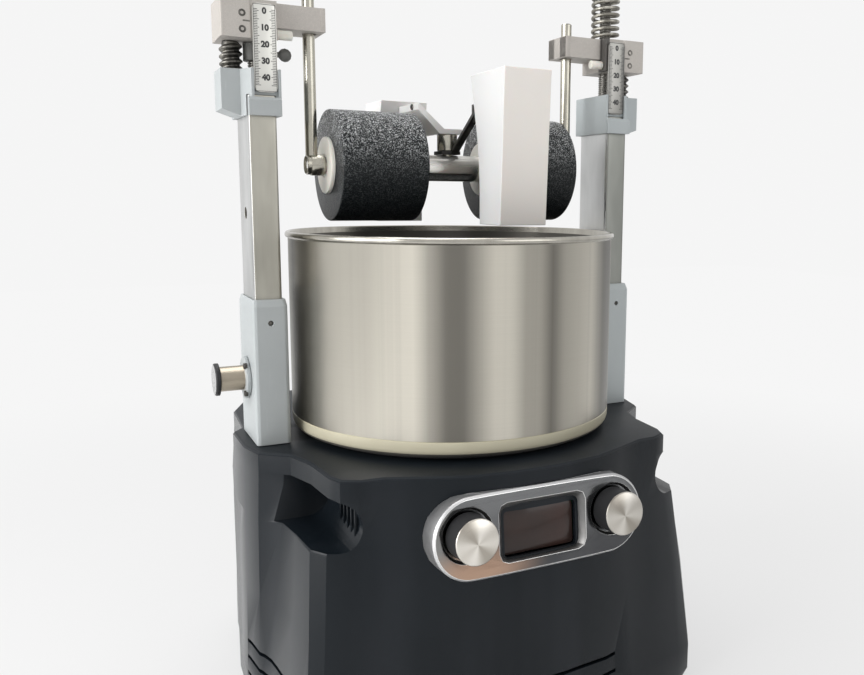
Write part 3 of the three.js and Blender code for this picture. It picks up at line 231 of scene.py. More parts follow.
def greyPaint():
    f = Finish("greyPaint")
    p = f.place()
    peel = f.noise(p, 700, 2)
    cloud = f.noise(p, 18, 3)
    scuff = f.step(f.noise(f.stretch(p, (1, 1, 0.15)), 260, 4, 0.7), 0.63, 0.72)
    # Painted light: the left and right tones are a shaded and a lit copy of one paint, blended across X
    far = f.step(f.axes(p)[0], *metres(*paintLightSpan))
    near = f.mix(cloud, (0.365, 0.388, 0.392), (0.43, 0.456, 0.46))
    shade = f.mix(far, near, f.mix(cloud, (0.44, 0.478, 0.488), (0.515, 0.555, 0.565)))
    f.set(Base_Color=f.mix(scuff * 0.16, shade, (0.60, 0.62, 0.62)), Roughness=0.38 + peel * 0.16)
    f.bump(peel, 0.03)
    return f.material


# Bead-blasted alloy of the sliders: warm light grey, fine pits, and a painted shadow strip beside the right
# scale, where the slider's body is in shade
alloyShadeStrip = {"starts": (121.5, 123), "ends": (126.5, 127.5), "front": (-2, 1)}


def blastedAlloy():
    f = Finish("blastedAlloy", Metallic=0.35)
    p = f.place()
    pits = f.noise(p, 1900, 3, 0.65)
    cloud = f.noise(p, 26, 3)
    shade = f.mix(cloud, (0.46, 0.428, 0.395), (0.58, 0.548, 0.51))
    x, y = f.axes(p)[:2]
    starts, ends, front = (metres(*alloyShadeStrip[k]) for k in ("starts", "ends", "front"))
    # Painted shadow: a dark strip on the front beside the right scale
    paintedShadeStrip = f.step(x, *starts) * f.step(x, *ends, 1, 0) * f.step(y, *front, 1, 0)
    shade = f.mix(paintedShadeStrip * 0.88, shade, (0.03, 0.029, 0.026))
    f.set(Base_Color=f.mix(f.step(pits, 0.35, 0.7), f.mix(0.25, shade, (0.2, 0.19, 0.18)), shade),
          Roughness=0.48 + pits * 0.2)
    f.bump(pits, 0.05)
    return f.material


# Satin stainless of tubes, panel backs and small plates, drawn along one axis
def satinSteel(name, along, light, dark, roughness=0.3):
    f = Finish(name, Metallic=1.0)
    p = f.place()
    lines = f.noise(f.stretch(p, tuple(0.03 if i == along else 1 for i in range(3))), 900, 3, 0.6)
    cloud = f.noise(f.stretch(p, tuple(0.3 if i == along else 1 for i in range(3))), 45, 3)
    f.set(Base_Color=f.mix(f.step(cloud, 0.3, 0.7) * 0.75 + lines * 0.25, dark, light),
          Roughness=roughness + lines * 0.14)
    f.bump(lines, 0.01)
    return f.material


# Bowl: brushed round, with upright bands of light painted round its wall as reflections; a bright rim; a foot
# painted bright cream as the light it reflects; the inside painted dark as shade
bowlLook = {"seam": 198.6, "rim": 320.6, "inner": 115.3, "blend": 0.3, "bands": 2.1, "tint": (1.0, 0.95, 0.83)}
# The brushed wall's painted reflections: light and dark bands, by degrees from -X and going round past the panel
# side
bowlReflectionTones = {"dark": 0.16, "mid": 0.37, "light": 0.61}
bowlReflectionBands = ((0, "dark"), (5, "mid"), (40, "mid"), (55, "light"), (65, "dark"), (70, "dark"), (80, "light"),
             (85, "light"), (90, "mid"), (95, "mid"), (100, "dark"), (105, "mid"), (120, "light"), (130, "dark"),
             (140, "dark"), (150, "light"), (190, "mid"), (215, "light"), (235, "dark"), (260, "light"),
             (290, "mid"), (320, "light"), (340, "dark"), (350, "mid"), (360, "dark"))


def brushedBowl():
    f = Finish("brushedBowl")
    p = f.place()
    x, y, z = f.axes(p)
    radius = (x * x + y * y).maths("SQRT")
    around = f.vector(x / radius, y / radius, 0.0)
    wide = f.noise(around, bowlLook["bands"], 2, 0.55)
    narrow = f.noise(around, 13, 3, 0.6)
    turn = y.maths("ARCTAN2", x) / (2 * math.pi) + 0.5
    tint = bowlLook["tint"]
    bands = f.ramp(turn, [(degrees / 360, tuple(bowlReflectionTones[tone] * c for c in tint))
                          for degrees, tone in bowlReflectionBands])
    lines = f.noise(f.vector(x / radius * 1.5, y / radius * 1.5, z * 2600), 1.0, 4, 0.7)
    # The wall's colour is the painted reflection bands, with brushed lines over them
    wall = f.mix(lines * 0.16 + f.step(narrow, 0.45, 0.8) * 0.2, bands, (0.20, 0.19, 0.175))
    # Below the seam the foot is painted bright cream and made nearly without metal, as painted light
    foot = f.mix(wide, (0.50, 0.465, 0.345), (0.62, 0.58, 0.44))
    rim = f.mix(narrow, (0.30, 0.285, 0.25), (0.50, 0.48, 0.43))
    # Inside the inner radius the steel is painted dark, as painted shade in the bowl
    inside = f.mix(wide, (0.05, 0.047, 0.042), (0.16, 0.152, 0.138))
    seam, rimLine, inner, blend = (bowlLook[k] for k in ("seam", "rim", "inner", "blend"))
    low = f.step(z, *metres(seam, seam + 0.5))
    high = f.step(z, *metres(rimLine - blend, rimLine))
    within = f.step(radius, *metres(inner - blend, inner), 1, 0)
    colour = f.mix(high, f.mix(low, foot, wall), rim)
    f.set(Base_Color=f.mix(within * (1 - high), colour, inside), Metallic=0.1 + low * 0.9,
          Roughness=0.27 + lines * 0.12 - high * 0.12)
    f.bump(lines, 0.008)
    return f.material


# Polished panel: cool grey face with a painted warm reflection low on the left, painted lighter towards its top
# and its left end, bright edges
panelLook = {"warm": (-44, 130), "paintedReflection": (40, 16), "rise": (124, 176), "end": (-52, -73)}


def polishedPanel():
    f = Finish("polishedPanel", Metallic=1.0)
    p = f.place()
    x, z = f.axes(p)[::2]
    wide, tall = panelLook["paintedReflection"]
    dx = x / mm / wide - panelLook["warm"][0] / wide
    dz = z / mm / tall - panelLook["warm"][1] / tall
    paintedReflection = f.step((dx * dx + dz * dz).maths("SQRT"), 0.2, 1.25, 1, 0)
    smear = f.noise(f.stretch(p, (1, 1, 3)), 38, 3, 0.6)
    lines = f.noise(f.stretch(p, (0.03, 1, 1)), 1500, 3)
    # Painted light: the face is lighter towards its top and towards its left end
    height = f.step(z, *metres(*panelLook["rise"]))
    face = f.mix(height * 0.75 + smear * 0.3, (0.055, 0.056, 0.060), (0.20, 0.204, 0.208))
    face = f.mix(f.step(x, *metres(*panelLook["end"])), face, (0.24, 0.238, 0.232))
    f.set(Base_Color=f.mix(paintedReflection * 0.8, face, (0.50, 0.33, 0.235)), Roughness=0.16 + lines * 0.06)
    f.bump(lines, 0.004)
    return f.material


def brightEdge():
    f = Finish("brightEdge", Metallic=1.0, Roughness=0.16)
    p = f.place()
    f.set(Base_Color=f.mix(f.noise(p, 60, 3), (0.70, 0.70, 0.69), (0.94, 0.94, 0.93)))
    return f.material


# Spun face of a knob: painted rays of light and fine turned rings; the left face is painted lighter than the
# right, as light
spunStops = ((0.1, (0.44, 0.405, 0.355)), (0.5, (0.60, 0.565, 0.505)), (0.95, (0.88, 0.845, 0.785)))
spunSideLight = {-1: 0.9, 1: 0.71}
spunCentre = (51, 151.6)


def spunFace(side):
    f = Finish("spunFace" + ("Left" if side < 0 else "Right"), Metallic=1.0)
    x, z = f.axes(f.place((side * spunCentre[0], 0, spunCentre[1])))[::2]
    turn = z.maths("ARCTAN2", x)
    radius = (x * x + z * z).maths("SQRT")
    paintedRays = (turn * 2 - 1.35).maths("COSINE") * 0.30 + (turn * 4 + 0.8).maths("COSINE") * 0.22
    rings = f.noise(f.vector(radius, 0.0, 0.0), 5200, 2)
    tone = paintedRays + 0.5 + rings * 0.12
    # Painted light: the left knob's face is a lighter copy of the tone and the right's a darker one
    level = spunSideLight[side]
    stops = [(place, tuple(level * c for c in tint)) for place, tint in spunStops]
    f.set(Base_Color=f.ramp(tone, stops), Roughness=0.24 + rings * 0.1)
    f.bump(rings, 0.006)
    return f.material


# Granite: near-black stone with fine white flecks, painted fading downwards between two heights as light from
# above, and sawn pits
def granite(name, lift, paintedLightFrom):
    f = Finish(name, Specular_IOR_Level=0.2)
    p = f.place()
    grains = f.noise(p, 1250, 2, 0.75)
    patches = f.noise(p, 300, 3, 0.7)
    mica = f.step(f.noise(p, 1700, 2, 0.6), 0.58, 0.66)
    pale = f.step(grains + patches * 0.3, 0.685, 0.745)
    # Painted light: flecks dim towards the underside below the first height
    paintedTopLight = f.step(f.axes(p)[2], *metres(*paintedLightFrom), 0.07, 1)
    body = f.mix(patches, (0.001, 0.003, 0.004), (0.005, 0.008, 0.009))
    tone = f.mix(mica * 0.3, body, (0.04, 0.045, 0.048))
    f.set(Base_Color=f.mix(pale * paintedTopLight * lift, tone, (0.82, 0.835, 0.84)), Roughness=0.2 + grains * 0.2)
    f.bump(grains * 0.8 + patches * 0.5, 0.8)
    return f.material


# White acetal: hubs, scrapers, strap and thumb screws, faintly mottled, with machining marks
def acetal(name, light, dark, marks=(1, 1, 0.04)):
    f = Finish(name, Subsurface_Weight=0.08, Subsurface_Scale=0.004)
    p = f.place()
    mottle = f.noise(p, 22, 3)
    cutter = f.noise(f.stretch(p, marks), 800, 2)
    f.set(Base_Color=f.mix(mottle, dark, light), Roughness=0.36 + cutter * 0.12)
    f.bump(cutter, 0.015)
    return f.material


# Rods, axle and nuts: bright drawn steel; on the axle, less metallic above the crest's two heights, so its top
# takes the light as a painted highlight
def polishedRod(name, light, dark, roughness, crest=None):
    f = Finish(name, Metallic=1.0)
    p = f.place()
    wave = f.noise(p, 34, 2)
    fine = f.noise(f.stretch(p, (1, 1, 0.2)), 1700, 3)
    if crest:
        # Painted highlight: the axle's top is made less metallic so that it catches the lamp
        f.set(Metallic=1 - f.step(f.axes(p)[2], *metres(*crest)) * 0.55)
    f.set(Base_Color=f.mix(wave * 0.7 + fine * 0.3, dark, light), Roughness=roughness + fine * 0.08)
    f.bump(fine, 0.006)
    return f.material


# Blackened steel of springs and threads: oiled, with bright wear on the crests
def darkSteel(name, base, worn, amount=0.45):
    f = Finish(name, Metallic=0.9)
    p = f.place()
    cloud = f.noise(p, 120, 4, 0.65)
    fine = f.noise(p, 1400, 3)
    f.set(Base_Color=f.mix(f.step(cloud, 0.42, 0.72) * amount, base, worn), Roughness=0.3 + fine * 0.2)
    f.bump(fine, 0.02)
    return f.material


def mouldedPlastic(name, colour, roughness=0.42):
    f = Finish(name, Specular_IOR_Level=0.3)
    p = f.place()
    grain = f.noise(p, 1300, 3)
    lighter = tuple(1.35 * c + 0.006 for c in colour)
    f.set(Base_Color=f.mix(f.noise(p, 40, 3), colour, lighter), Roughness=roughness + grain * 0.12)
    f.bump(grain, 0.03)
    return f.material


# Smoked window with the dim module behind it, and a painted red glow between two edges
windowLook = {"starts": (-4, 20), "ends": (24, 16)}


def smokedWindow():
    f = Finish("smokedWindow", Specular_IOR_Level=0.3, Coat_Weight=0.1)
    p = f.place()
    x = f.axes(p)[0]
    glow = f.noise(f.stretch(p, (1, 1, 1.4)), 30, 2)
    lit = f.step(x, *metres(*windowLook["starts"])) * f.step(x, *metres(*windowLook["ends"]))
    dim = f.mix(glow, (0.021, 0.014, 0.012), (0.055, 0.033, 0.028))
    f.set(Base_Color=f.mix(lit * glow * 0.6, dim, (0.085, 0.036, 0.028)), Roughness=0.12 + glow * 0.08)
    return f.material


def castIron(name="castIron", level=0.10):
    f = Finish(name, Metallic=0.7)
    p = f.place()
    skin = f.noise(p, 500, 4, 0.7)
    f.set(Base_Color=f.mix(skin, grey(level * 0.7), grey(level * 1.4)), Roughness=0.5 + skin * 0.2)
    f.bump(skin, 0.1)
    return f.material


def circuitBoard():
    f = Finish("circuitBoard")
    p = f.place()
    tracks = f.step(f.noise(f.stretch(p, (1, 1, 0.25)), 420, 1), 0.5, 0.53)
    f.set(Base_Color=f.mix(tracks, (0.012, 0.085, 0.03), (0.03, 0.16, 0.055)), Roughness=0.35 + tracks * 0.1)
    return f.material


def inkBlack():
    f = Finish("inkBlack")
    wear = f.noise(f.place(), 900, 3)
    f.set(Base_Color=f.mix(wear, (0.012, 0.012, 0.013), (0.05, 0.05, 0.052)), Roughness=0.5 + wear * 0.2)
    return f.material


looks = {
    "housing": paintedHousing(), "paint": greyPaint(), "alloy": blastedAlloy(), "bowl": brushedBowl(),
    # The right tube's finish is a darker copy, painted shade, and the tubes' left-facing faces take a lighter
    # copy, painted light
    "tube": satinSteel("satinTube", 2, (0.44, 0.425, 0.375), (0.31, 0.30, 0.26)),
    "tubeRightShaded": satinSteel("satinTubeRightShaded", 2, (0.265, 0.27, 0.25), (0.19, 0.195, 0.18)),
    "tubeSideLit": satinSteel("satinTubeSideLit", 2, (0.66, 0.665, 0.66), (0.47, 0.475, 0.47)),
    "barrel": satinSteel("warmBarrel", 0, (0.40, 0.35, 0.285), (0.22, 0.20, 0.15), 0.27),
    "plate": satinSteel("platedSteel", 0, (0.62, 0.62, 0.61), (0.42, 0.42, 0.41), 0.34),
    "scale": satinSteel("scaleSteel", 2, (0.66, 0.655, 0.62), (0.50, 0.495, 0.46), 0.36),
    # The right scale's finish is a darker copy of the left's, painted shade
    "scaleRightShaded": satinSteel("scaleSteelRightShaded", 2, (0.36, 0.355, 0.335), (0.20, 0.198, 0.185), 0.36),
    "panel": polishedPanel(), "edge": brightEdge(), "faceLeft": spunFace(-1), "faceRight": spunFace(1),
    "roller": granite("graniteRoller", 0.95, (358, 409)), "stone": granite("graniteBase", 0.5, (100, 150)),
    "hub": acetal("acetalHub", (0.90, 0.875, 0.80), (0.80, 0.77, 0.69), (0.05, 1, 1)),
    "scraper": acetal("acetalScraper", (0.89, 0.845, 0.795), (0.84, 0.80, 0.75)),
    "scraperSideShaded": acetal("acetalScraperSideShaded", (0.70, 0.70, 0.695), (0.65, 0.65, 0.645)),
    "strap": acetal("paleStrap", (0.95, 0.945, 0.925), (0.90, 0.895, 0.87)),
    "rod": polishedRod("drawnRod", (0.62, 0.60, 0.53), (0.24, 0.225, 0.18), 0.2),
    "axle": polishedRod("turnedAxle", (0.94, 0.925, 0.89), (0.66, 0.64, 0.60), 0.16, (368, 375)),
    "thread": darkSteel("blackThread", (0.07, 0.067, 0.062), (0.5, 0.48, 0.43)),
    "stud": darkSteel("brightStud", (0.30, 0.29, 0.27), (0.62, 0.60, 0.56)),
    "spring": darkSteel("springSteel", (0.20, 0.19, 0.165), (0.66, 0.64, 0.57), 0.7),
    "strut": darkSteel("darkStrut", (0.035, 0.034, 0.032), (0.2, 0.19, 0.18), 0.25),
    "black": mouldedPlastic("blackPlastic", (0.013, 0.013, 0.014)),
    "collar": mouldedPlastic("greyCollar", (0.125, 0.125, 0.118), 0.45),
    "knurl": castIron("knurledFace", 0.42),
    "side": satinSteel("panelSide", 0, (0.66, 0.66, 0.66), (0.42, 0.42, 0.425), 0.38),
    "bezel": satinSteel("panelBezel", 0, (0.26, 0.255, 0.25), (0.15, 0.15, 0.15), 0.34),
    "rubber": mouldedPlastic("footRubber", (0.012, 0.012, 0.012), 0.7),
    "smoked": smokedWindow(), "iron": castIron(), "board": circuitBoard(), "ink": inkBlack(),
}
print("finishes made:", len(looks))


def painted(node, look):
    solid = cadNodes[node]
    slot = solid.data.materials[0].name
    solid.data.materials.clear()
    solid.data.materials.append(looks[look])
    return slot


# Modelling helpers. Points nearer than this many metres become one, and so do faces within the lean in degrees
merged = {"drawn": 0.000004, "solids": 0.000008, "lean": 0.6}


def only(piece):
    if bpy.context.mode != "OBJECT":
        bpy.ops.object.mode_set(mode="OBJECT")
    bpy.ops.object.select_all(action="DESELECT")
    if piece:
        piece.select_set(True)
        bpy.context.view_layer.objects.active = piece


def edit(piece, how="SELECT"):
    only(piece)
    bpy.ops.object.mode_set(mode="EDIT")
    bpy.ops.mesh.select_all(action=how)


def applied(piece, kind, **settings):
    only(piece)
    modifier = piece.modifiers.new(kind.lower(), kind)
    for name, value in settings.items():
        setattr(modifier, name, value)
    bpy.ops.object.modifier_apply(modifier=modifier.name)


def settled(piece, turn=(0, 0, 0), place=(0, 0, 0)):
    only(piece)
    piece.rotation_euler = [math.radians(a) for a in turn]
    piece.location = axisFoot + Vector(place) * mm
    bpy.ops.object.transform_apply(location=True, rotation=True, scale=True)
    return piece


def finished(piece, name, body, look, replaced=(), smooth=35):
    only(piece)
    if smooth:
        bpy.ops.object.shade_smooth_by_angle(angle=math.radians(smooth))
    piece.name = name
    piece.data.name = name
    piece.data.materials.clear()
    piece.data.materials.append(looks[look])
    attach(piece, body)
    if replaced:
        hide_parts(*replaced)
        painted(replaced[0], look)
    return piece


def joined(first, *others):
    only(first)
    for other in others:
        other.select_set(True)
    bpy.ops.object.join()
    return first


def outline(points):
    only(None)
    bpy.ops.mesh.primitive_plane_add(size=0.001)
    piece = bpy.context.object
    edit(piece)
    bpy.ops.mesh.merge(type="CENTER")
    x, z = points[0]
    bpy.ops.transform.translate(value=(x * mm, 0, z * mm))
    for (x0, z0), (x1, z1) in zip(points, points[1:]):
        bpy.ops.mesh.extrude_region_move(TRANSFORM_OT_translate={"value": ((x1 - x0) * mm, 0, (z1 - z0) * mm)})
    return piece


# A profile of (radius, height) spun about Z, then turned to its own axis
def spun(profile, steps=96, turn=(0, 0, 0), place=(0, 0, 0)):
    piece = outline(profile)
    bpy.ops.mesh.select_all(action="SELECT")
    bpy.ops.mesh.spin(steps=steps, angle=2 * math.pi, center=(0, 0, 0), axis=(0, 0, 1))
    bpy.ops.mesh.select_all(action="SELECT")
    bpy.ops.mesh.remove_doubles(threshold=merged["drawn"])
    bpy.ops.mesh.normals_make_consistent(inside=False)
    return settled(piece, turn, place)


# A ring of section points wound up round Z, its two ends closed
def wound(section, pitch, turns, stepsPerTurn, place):
    piece = outline(list(section) + [section[0]])
    bpy.ops.mesh.select_all(action="SELECT")
    bpy.ops.mesh.remove_doubles(threshold=merged["drawn"])
    steps = int(stepsPerTurn * turns)
    applied(piece, "SCREW", angle=2 * math.pi * turns, screw_offset=pitch * turns * mm, axis="Z",
            steps=steps, render_steps=steps, use_merge_vertices=False)
    edit(piece)
    bpy.ops.mesh.select_all(action="DESELECT")
    bpy.ops.mesh.select_non_manifold()
    bpy.ops.mesh.fill_holes(sides=0)
    bpy.ops.mesh.select_all(action="SELECT")
    bpy.ops.mesh.normals_make_consistent(inside=False)
    return settled(piece, (0, 0, 0), place)


def slab(low, high, edge=0.0, segments=2):
    only(None)
    middle = [start + (a + b) / 2 * mm for a, b, start in zip(low, high, axisFoot)]
    bpy.ops.mesh.primitive_cube_add(size=1, location=middle)
    piece = bpy.context.object
    piece.scale = [(b - a) * mm for a, b in zip(low, high)]
    bpy.ops.object.transform_apply(location=True, rotation=True, scale=True)
    if edge:
        applied(piece, "BEVEL", width=edge * mm, segments=segments, limit_method="ANGLE")
    return piece


# Facets of a curved wall made rounder, along the edges that run with one axis
rounding = {"along": 0.7, "least": 4, "most": 60, "percent": 44, "segments": 4}


def rounded(piece, axis, wanted):
    edit(piece, "DESELECT")
    mesh = bmesh.from_edit_mesh(piece.data)
    for edge in mesh.edges:
        start, end = (vertex.co for vertex in edge.verts)
        along = abs((end - start).normalized().dot(axis))
        if along > rounding["along"] and len(edge.link_faces) == 2 and wanted((start + end) / 2):
            turn = math.degrees(edge.calc_face_angle())
            if rounding["least"] < turn < rounding["most"]:
                edge.select_set(True)
    bmesh.update_edit_mesh(piece.data)
    bpy.ops.mesh.bevel(offset_type="PERCENT", offset_pct=rounding["percent"], segments=rounding["segments"],
                       affect="EDGES", clamp_overlap=True)


# A merged copy of a solid with its edges eased
def eased(node, width, segments, angle, axis=None, wanted=None):
    piece = bpy.data.objects.new(node + "Look", cadNodes[node].data.copy())
    bpy.context.scene.collection.objects.link(piece)
    edit(piece)
    bpy.ops.mesh.remove_doubles(threshold=merged["solids"])
    bpy.ops.mesh.dissolve_limited(angle_limit=math.radians(merged["lean"]))
    if axis:
        rounded(piece, axis, wanted)
    applied(piece, "BEVEL", width=width * mm, segments=segments, limit_method="ANGLE",
            angle_limit=math.radians(angle), miter_outer="MITER_ARC", harden_normals=False)
    return piece


def dressed(node, body, look, width, segments=2, angle=28, smooth=32):
    return finished(eased(node, width, segments, angle), node + "Look", body, look, (node,), smooth)


# Broad flat faces keep their own light, and the turn is left to the eased edges
def evened(piece):
    applied(piece, "WEIGHTED_NORMAL", keep_sharp=True, weight=90)
    return piece


def faced(piece, look, wanted):
    piece.data.materials.append(looks[look])
    for face in piece.data.polygons:
        if wanted(face):
            face.material_index = len(piece.data.materials) - 1


def curvedCorner(centre, radius, start, end, steps):
    return [(centre[0] + radius * math.cos(math.radians(start + (end - start) * i / steps)),
             centre[1] + radius * math.sin(math.radians(start + (end - start) * i / steps)))
            for i in range(steps + 1)]


# Base: housing with eased edges, ribs at the inner end of each grip
base = {"edge": 0.9, "ribs": 5, "ribStep": 7.5, "ribFrom": -104, "ribReach": 105.9, "ribSize": (2.2, 2.0),
        "ribHeights": (147.5, 166), "ribEdge": 0.5}


def makeHousing():
    dressed("base_housing", "base", "housing", base["edge"], 3, 24, 40)
    reach, wide = base["ribSize"]
    bottom, top = base["ribHeights"]
    for name, side in sides:
        near, far = sorted((side * base["ribReach"], side * base["ribReach"] + side * reach))
        ribs = []
        for i in range(base["ribs"]):
            y = base["ribFrom"] + i * base["ribStep"]
            ribs.append(slab((near, y, bottom), (far, y + wide, top), base["ribEdge"]))
        finished(joined(*ribs), "gripRibs_" + name, "base", "housing")


makeHousing()
for node in ("foot_front_left", "foot_front_right", "foot_rear_left", "foot_rear_right"):
    dressed(node, "base", "rubber", 0.4)
dressed("base_pan", "base", "plate", 0.3, 1)
print("base dressed")


# Control panel: polished plate whose narrow turned edges stay bright. A face is told by how far it leans
panel = {"lean": 5, "inset": 2.6, "turned": (0.74, 0.985), "edge": 0.4}


def makePanel():
    lean = math.radians(panel["lean"])
    facing = Vector((0, -math.cos(lean), math.sin(lean)))
    low, high = nodeBox("control_panel")
    halfWide, halfHigh = ((high[i] - low[i]) / 2 - panel["inset"] for i in (0, 2))

    def outside(point):
        where = (point - axisFoot) / mm
        beyond = max(0, abs(where.x) - halfWide + halfHigh)
        return math.hypot(beyond, where.z - (low.z + high.z) / 2) > halfHigh

    plate = finished(eased("control_panel", panel["edge"], 2, 26, facing, outside), "control_panelLook", "base",
                     "panel", ("control_panel",), 40)
    least, most = panel["turned"]
    faced(plate, "edge", lambda face: least < face.normal.dot(facing) < most)
    faced(plate, "side", lambda face: face.normal.dot(facing) <= least and outside(face.center))
    faced(plate, "bezel", lambda face: face.normal.dot(facing) <= least and not outside(face.center))


makePanel()

# Knobs: black skirt and spun face, both drawn outward from the seat
knobs = {"place": (51, -141.28, 151.79), "radius": 13.8, "face": 14.1, "foot": -2.1, "stem": 3, "back": -23.7,
         "seam": 13.0}


def makeKnobs():
    x, y, z = knobs["place"]
    r, face, foot, stem, back, seam = (knobs[k] for k in ("radius", "face", "foot", "stem", "back", "seam"))
    turn = (90 - panel["lean"], 0, 0)
    for name, side in sides:
        place = (side * x, y, z)
        skirt = spun([(0, back), (stem, back), (stem, foot), (r - 0.4, foot), (r, foot + 0.4), (r, seam - 0.5),
                      (r - 0.35, seam - 0.2), (0, seam - 0.2)], 96, turn, place)
        finished(skirt, "knobSkirt_" + name, "dial_" + name, "black", ("knob_" + name,))
        cap = spun([(0, seam - 0.15), (r - 0.1, seam - 0.15), (r, seam + 0.05), (r, face - 0.75),
                    (r - 0.25, face - 0.4), (r - 0.9, face), (0, face)], 96, turn, place)
        finished(cap, "knobFace_" + name, "dial_" + name, "faceLeft" if side < 0 else "faceRight")


makeKnobs()
dressed("display_window", "base", "smoked", 0.25)
dressed("control_board", "base", "board", 0.1, 1)
print("panel dressed")


# Mains inlet with its three pins
inlet = {"pins": ((0, 4), (-7, -2.5), (7, -2.5)), "pin": (1.0, 2.0), "from": 145.5, "to": 156, "height": 40,
         "edge": 0.35}


def makeInlet():
    dressed("power_inlet", "base", "black", 0.5)
    pins = []
    w, h = inlet["pin"]
    for x, rise in inlet["pins"]:
        z = inlet["height"] + rise
        pins.append(slab((x - w, inlet["from"], z - h), (x + w, inlet["to"], z + h), inlet["edge"]))
    finished(joined(*pins), "inletPins", "base", "plate")


makeInlet()


# Bowl, base stone and what turns with them. The bead goes over the rim from outside, in steps from its corner
bowl = {"radius": 116, "low": 187.5, "rim": 325.0, "sheet": 1.2, "corner": 11, "foot": 6.5, "bore": 5.35,
        "seam": 0.35, "bead": ((0, -4.8), (0.35, -4.3), (1.3, -3.9), (1.9, -3.1), (2.0, -2.2), (1.8, -1.2),
                               (1.1, -0.35), (0, 0), (-0.8, -0.35), (-1.2, -1.3))}


def makeBowl():
    r, low, rim, sheet, c, foot = (bowl[k] for k in ("radius", "low", "rim", "sheet", "corner", "foot"))
    groove = low + c + 0.1
    outer = curvedCorner((r - foot, low + foot), foot, -90, 0, 10)
    inner = curvedCorner((r - c, low + c), c - sheet, 0, -90, 10)
    bead = [(r + out, rim + rise) for out, rise in bowl["bead"]]
    profile = ([(bowl["bore"], low)] + outer[:-1]
               + [(r, low + c - 0.3), (r - bowl["seam"], groove), (r, groove + bowl["seam"])]
               + bead + inner + [(bowl["bore"], low + sheet), (bowl["bore"], low)])
    finished(spun(profile, 180), "bowlShell", "bowl_drive", "bowl", ("bowl",), 40)


makeBowl()
stoneTop = nodeBox("base_stone")[1].z
stone = {"radius": 113.6, "low": 189.0, "corner": 11, "bore": 5.35, "pocket": 13.2, "edge": 1.0,
         "underNut": 0.3}


def makeStone():
    r, z0, c, e, bore, pocket = (stone[k] for k in ("radius", "low", "corner", "edge", "bore", "pocket"))
    floor = nodeBox("bowl_nut")[0].z - stone["underNut"]
    profile = [(bore, z0), (r - c, z0), (r, z0 + c), (r, stoneTop - e), (r - 0.3 * e, stoneTop - 0.3 * e),
               (r - e, stoneTop), (pocket, stoneTop), (pocket, floor), (bore, floor), (bore, z0)]
    finished(spun(profile, 128), "stoneDisc", "bowl_drive", "stone", ("base_stone",))


makeStone()
dressed("bowl_nut", "bowl_drive", "plate", 0.4)
dressed("turntable", "bowl_drive", "black", 0.3, 2)
print("bowl and stone made")


# Sleeves, tubes and heads of the posts, with the sliders between them
for name, side in sides:
    evened(dressed("sleeve_" + name, "base", "paint", 0.5, 3, 20))
    tube = evened(dressed("tube_" + name, "gantry", "tube" if side < 0 else "tubeRightShaded", 0.25, 2, 40, 40))
    faced(tube, "tubeSideLit", lambda face: face.normal.x < -0.7)
    evened(dressed("head_" + name, "gantry", "paint", 0.7, 3, 20))
    evened(dressed("slider_" + name, "carriage", "alloy", 0.5, 3, 25))
dressed("cross_bar", "gantry", "paint", 0.4, 2, 40, 40)

# Caps on the arms' ends, and two screws with a dash between them on each slider's face
slider = {"cap": 3.4, "proud": 0.15, "halfDeep": 13, "high": 15, "edge": 0.35, "screwReach": 145.6,
          "screws": (460.9, 451.2), "dash": (140.9, 145.3, 455.8, 456.8), "dashDeep": (0.05, 0.3),
          "head": ((0, 0.5), (0.9, 0.5), (1.0, -0.2), (2.05, -0.2), (2.3, 0.05), (2.3, 2), (0, 2))}


def makeSliderTrim():
    for name, side in sides:
        low, high = nodeBox("slider_" + name)
        inner = high.x if side < 0 else low.x
        near, far = sorted((inner, inner + side * slider["cap"]))
        reach = slider["halfDeep"] + slider["proud"]
        end = slab((near, posts["setback"] - reach, high.z - slider["high"] - slider["proud"]),
                   (far, posts["setback"] + reach, high.z + slider["proud"]), slider["edge"])
        finished(end, "armCap_" + name, "carriage", "alloy")
        marks = [spun(slider["head"], 32, (-90, 0, 0), (side * slider["screwReach"], low.y, z))
                 for z in slider["screws"]]
        a, b, bottom, top = slider["dash"]
        near, far = sorted((side * a, side * b))
        proud, sunk = slider["dashDeep"]
        marks.append(slab((near, low.y - proud, bottom), (far, low.y + sunk, top)))
        finished(joined(*marks), "sliderScrews_" + name, "carriage", "thread")


makeSliderTrim()

# A small screw in the front of each sleeve
setScrews = {"front": -16.3, "height": 266.7,
             "head": ((0, 0), (0.8, 0), (0.9, 1.0), (1.4, 1.0), (1.5, 1.2), (1.5, 5), (0, 5))}


def makeSetScrews():
    for name, side in sides:
        screw = spun(setScrews["head"], 32, (-90, 0, 0),
                     (side * posts["reach"], setScrews["front"], setScrews["height"]))
        finished(screw, "setScrew_" + name, "base", "thread")


makeSetScrews()

# Height scales: ticks on both edges, a border line and plain numbers
scale = {"reach": 6.6, "short": 2.3, "long": 3.3, "longEvery": 5, "tick": 0.36, "count": 47, "from": 417.8,
         "numbers": (0, 10, 20, 30, 40), "numberStep": 10.1, "numberTop": 462.9, "textSize": 5.0, "bold": 0.28,
         "proud": 0.04, "sunk": 0.05, "line": 0.3, "inset": 0.5}


